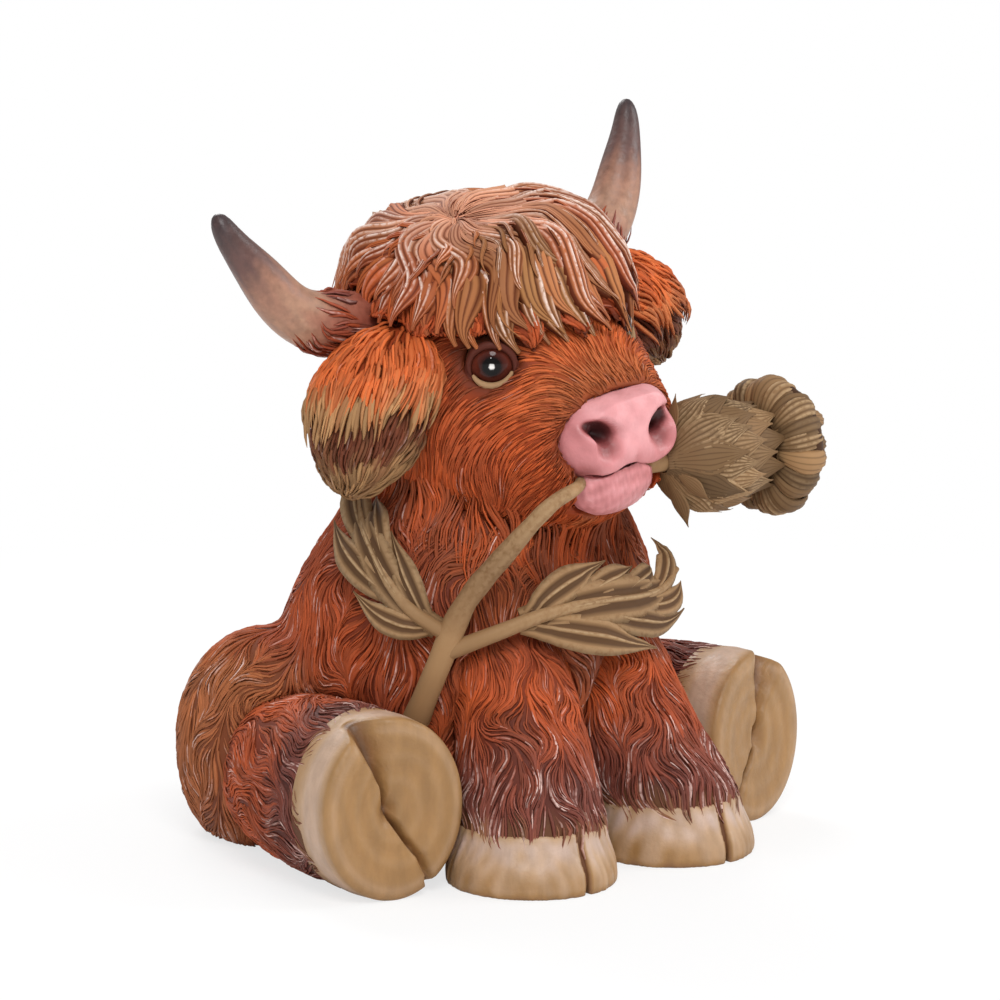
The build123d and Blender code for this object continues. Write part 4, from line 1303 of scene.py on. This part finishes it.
def buildLeaf(name, leaf):
    spine = smoothLine([bodyPoint(*p) for p in leaf["points"]], leafLook["spineSteps"])
    along = unit(np.gradient(spine, axis=0))
    normal = squareTo(np.broadcast_to(leaf["faces"], spine.shape), along)
    across = np.cross(normal, along)
    draw = np.random.default_rng(leaf["seed"])
    t = np.linspace(0, 1, leafLook["steps"])
    last = len(spine) - 1
    lobes = []
    for line, half in leaf["lobes"]:
        share, away = smoothLine(line, leafLook["steps"]).T
        cells = np.clip(share * last, 0, last).astype(int)
        height = leafLook["arch"] * np.sin(math.pi * t) - leafLook["sink"] + draw.uniform(-0.3, 0.3)
        points = spine[cells] + across[cells] * away[:, None] + normal[cells] * height[:, None]
        coat = thistle["ochre"] * draw.uniform(0.8, 1.1)
        tone = draw.uniform(0.3, 0.8)
        lobes.append(lockOf(points, normal[cells], bladeWidths(t, half), coat, tone, 0.9, 0.35))
    finishPiece(sweepLocks(f"{name}_blade", lobes, thistlePaint, leafProfile), "thistle_resin", name)
    points, lifts = spine[::leafLook["ribEvery"]], normal[::leafLook["ribEvery"]]
    widths = np.linspace(*leaf["rib"], len(points))
    rib = lockOf(points + lifts * leafLook["ribLift"], lifts, widths, thistle["ochre"] * 1.05, 0.5, 0.9, 0.3)
    finishPiece(sweepLocks(f"{name}_rib", [rib], thistlePaint, stalkProfile), "thistle_resin")


for name, leaf in leaves.items():
    buildLeaf(name, leaf)

noseStops = [(0.0, (0.035, 0.006, 0.006)), (0.3, (0.15, 0.028, 0.028)), (0.55, (0.40, 0.12, 0.12)),
             (0.75, (0.58, 0.21, 0.215)), (1.0, (0.77, 0.35, 0.36))]
nosePaint = rampMaterial("nosePaint", "pale", noseStops, {"range": (0.95, 1.05), "scale": 300.0}, 0.42,
                         {"scale": 900.0, "strength": 0.2})
nose = {"voxel": 0.5, "smoothing": 5, "middle": -8.0, "half": (15.8, 8.8), "square": 3.6, "flat": 47.2,
        "push": 1.0, "narrow": 0.14, "skew": 0.09, "grooveDepth": 0.3,
        "nostril": {"place": (8.4, -6.2), "half": (4.4, 2.7), "lean": 0.5, "depth": 4.4},
        "slope": {"place": (7.6, -9.2), "half": (3.6, 3.4), "lean": -0.4, "depth": 1.8},
        "arch": {"place": -3.0, "half": 5.5, "height": 1.8}}


def hollow(out, above, spot):
    x, z = np.abs(out) - spot["place"][0], above - spot["place"][1]
    along, beside = x + spot["lean"] * z, z - spot["lean"] * x
    return np.exp(-((along / spot["half"][0]) ** 2 + (beside / spot["half"][1]) ** 2) ** 2)


# squares the pad's outline, arches its lower edge over the mouth and narrows its front
def shapePad(out, forward, above):
    z = above - nose["middle"]
    turn = np.arctan2(z / nose["half"][1], out / nose["half"][0])
    power = nose["square"]
    grow = (np.abs(np.cos(turn)) ** power + np.abs(np.sin(turn)) ** power) ** (-1 / power)
    front = smoothStep(forward, 35, 43)
    out = out * (1 + (grow * (1 - 0.13 * smoothStep(z, -4, 8)) - 1) * front)
    above = nose["middle"] + z * (1 + (grow - 1) * front)
    arch = nose["arch"]
    bow = np.exp(-((out - arch["place"]) / arch["half"]) ** 2) * smoothStep(above, -9, -14)
    above = above + arch["height"] * bow
    tip = smoothStep(forward, 38, 46)
    out = out * (1 - nose["narrow"] * tip)
    forward = forward + nose["push"] * tip
    forward = forward - 0.75 * np.maximum(forward - nose["flat"], 0)
    return out, forward, above, front


def buildMuzzle():
    skin = skinOf("muzzle_pad", ["muzzle"], nose["voxel"], nose["smoothing"])
    out, forward, above, front = shapePad(*inHead(readPoints(skin.data)))
    level = above + nose["skew"] * out
    hole, slope = hollow(out, level, nose["nostril"]), hollow(out, level, nose["slope"])
    lower = smoothStep(above, -9, -14)
    groove = np.exp(-(out / 0.7) ** 2) * lower
    carved = nose["nostril"]["depth"] * hole + nose["slope"]["depth"] * slope + nose["grooveDepth"] * groove
    points = fromHead(out, forward - carved * front, above)
    writePoints(skin, points)
    pale = 0.95 - 0.22 * smoothStep(above, -9, -15) - 0.26 * smoothStep(np.abs(out), 9.5, 13.5)
    pale = pale + 0.05 * waveField(points, 5, 131)
    # painted shade darkens the hollow below each nostril; the nostrils themselves are painted dark
    pale = pale * (1 - 0.6 * slope) * (1 - 0.9 * smoothStep(hole, 0.15, 0.8)) * (1 - 0.1 * groove)
    setAttribute(skin.data, "pale", np.clip(pale, 0, 1))
    finishPiece(skin, "muzzle_resin", "muzzle", paint=nosePaint)


# the lip's upper part is raised to the pad, its chin stays
lip = {"voxel": 0.45, "smoothing": 5, "shift": (-1.4, 1.4, 1.2), "raise": 2.6, "from": -24.5, "to": -17.0,
       "lineDepth": 0.07, "pale": 0.74}


def buildLip():
    skin = skinOf("lower_lip_pad", ["lower_lip"], lip["voxel"], lip["smoothing"])
    points, normals = surface(skin)
    out, forward, above = inHead(points + headTurn(*lip["shift"]))
    above = above + lip["raise"] * smoothStep(above, lip["from"], lip["to"])
    lines = waveField(np.column_stack([out, 0.6 * forward, 0.5 * above]), 1.5, 133)
    writePoints(skin, fromHead(out, forward, above) + normals * (lip["lineDepth"] * lines)[:, None])
    pale = lip["pale"] + 0.08 * lines - 0.35 * smoothStep(above, -16.5, -14)
    setAttribute(skin.data, "pale", np.clip(pale, 0, 1))
    finishPiece(skin, "muzzle_resin", "lower_lip", paint=nosePaint)


buildMuzzle()
buildLip()

# lids are arcs round the eye, in degrees; wide and tall are their openings
lids = {"upper": {"from": -20, "to": 200, "half": 0.9, "wide": 58, "tall": 52, "coat": (0.085, 0.018, 0.010)},
        "lower": {"from": 200, "to": 340, "half": 0.8, "wide": 50, "tall": 47, "coat": (0.34, 0.20, 0.10)},
        "rim": {"from": 175, "to": 365, "half": 1.0, "wide": 66, "tall": 64, "coat": (0.11, 0.022, 0.012)}}
lidSteps = 26
lidPaint = hairMaterial("lidPaint", (0.55, 0.45, 0.45), (0.6, 0.4, 0.3))


def eyeMaterial(name, centre, gaze):
    material, tree, paint = newMaterial(name)
    local = vectorNode(tree, "SUBTRACT", objectPlace(tree), centre * mm)
    facing = mapRange(tree, vectorNode(tree, "DOT_PRODUCT", local, gaze), 0, eye["radius"] * mm)
    # the ramp's last stop paints a white glint at the pupil's middle, a painted highlight
    setInputs(tree, paint, {"Base Color": colourRamp(tree, facing, eye["stops"]), "Roughness": 0.06,
                            "Specular IOR Level": 0.2})
    return material


def buildBall(name, centre, gaze):
    form = bmesh.new()
    bmesh.ops.create_uvsphere(form, u_segments=48, v_segments=24, radius=eye["radius"] * mm,
                              matrix=Matrix.Translation(Vector(centre * mm)))
    mesh = bpy.data.meshes.new(f"{name}_eye_ball")
    form.to_mesh(mesh)
    form.free()
    shadeSmooth(mesh)
    gloss = eyeMaterial(f"{name}EyeGloss", centre, gaze)
    finishPiece(newPiece(mesh.name, mesh), "eye_gloss", f"{name}_eye", paint=gloss)


def buildEye(name, side):
    centre, gaze = headPoint(*eye["place"], side), unit(headTurn(*eye["gaze"], side))
    buildBall(name, centre - eye["deeper"] * gaze, gaze)
    up = squareTo(headTurn(0, 0, 1), gaze)
    across = np.cross(up, gaze) * side
    locks = []
    for lid in lids.values():
        turns = np.radians(np.linspace(lid["from"], lid["to"], lidSteps))
        cosine, sine = np.cos(turns), np.sin(turns)
        opening = np.radians(lid["wide"]) * cosine ** 2 + np.radians(lid["tall"]) * sine ** 2
        around = cosine[:, None] * across + sine[:, None] * up
        rays = np.cos(opening)[:, None] * gaze + np.sin(opening)[:, None] * around
        widths = lid["half"] * (0.35 + 0.65 * np.sin(np.linspace(0, math.pi, lidSteps)) ** 0.6)
        locks.append(lockOf(centre + rays * (eye["radius"] + 0.15), rays, widths, lid["coat"]))
    finishPiece(sweepLocks(f"{name}_eyelids", locks, lidPaint, stalkProfile), "fur_resin")


for name, side in sides.items():
    buildEye(name, side)

tail = {"voxel": 1.2, "waves": {"bend": 0.35, "length": 12.0},
        "points": [(0.0, -40.0, 34.0), (2.0, -47.0, 32.0), (6.0, -52.5, 22.0), (13.0, -54.0, 11.5),
                   (23.0, -52.5, 7.5), (32.0, -48.5, 7.0), (36.0, -45.5, 6.5)],
        "coats": {"coat": coatOf(0.5, 0.8, 11.0, 1.3, 0.7, seed=141)}}


def buildTail():
    skin = skinOf("tail_skin", ["tail"], tail["voxel"])
    points, normals = surface(skin)
    share, flow = followLine(points, normals, smoothLine([bodyPoint(*p) for p in tail["points"]], 40))
    coat = layered(paints["rust"], (paints["gold"], smoothStep(share, 0.5, 1.0)))
    combSkin(skin, turnFlow(flow, points, normals, tail["waves"], 143), coat, 0.15,
             openShare(points, ["torso"], 0.2, 0.8))
    growCoats("tail", skin, tail)
    finishSkin(skin, "fur_resin", "tail")


buildTail()


def speckMaterial(name, dark, light, scale, roughness, metallic=0.0):
    material, tree, paint = newMaterial(name)
    share = noiseBlend(tree, 0, 1, scale)
    setInputs(tree, paint, {
        "Base Color": mixColours(tree, share, (*dark, 1), (*light, 1)), "Metallic": metallic,
        "Roughness": noiseBlend(tree, roughness - 0.1, roughness + 0.1, scale),
        "Normal": bumpNode(tree, share, 0.3, 0.0003)})
    return material


# felt and pins keep their CAD solids
felt = speckMaterial("darkFelt", (0.012, 0.01, 0.01), (0.05, 0.045, 0.045), 1800.0, 0.85)
steel = speckMaterial("pinSteel", (0.45, 0.45, 0.47), (0.66, 0.66, 0.68), 900.0, 0.35, 1.0)
kept = {"base_felt": felt, "neck_pin": steel, "thistle_pin": steel, "horn_pins": steel, "ear_pins": steel,
        "front_leg_pins": steel, "hind_leg_pins": steel}
for name, material in kept.items():
    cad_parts[name].data.materials.clear()
    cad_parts[name].data.materials.append(material)
print("felt and pins painted")
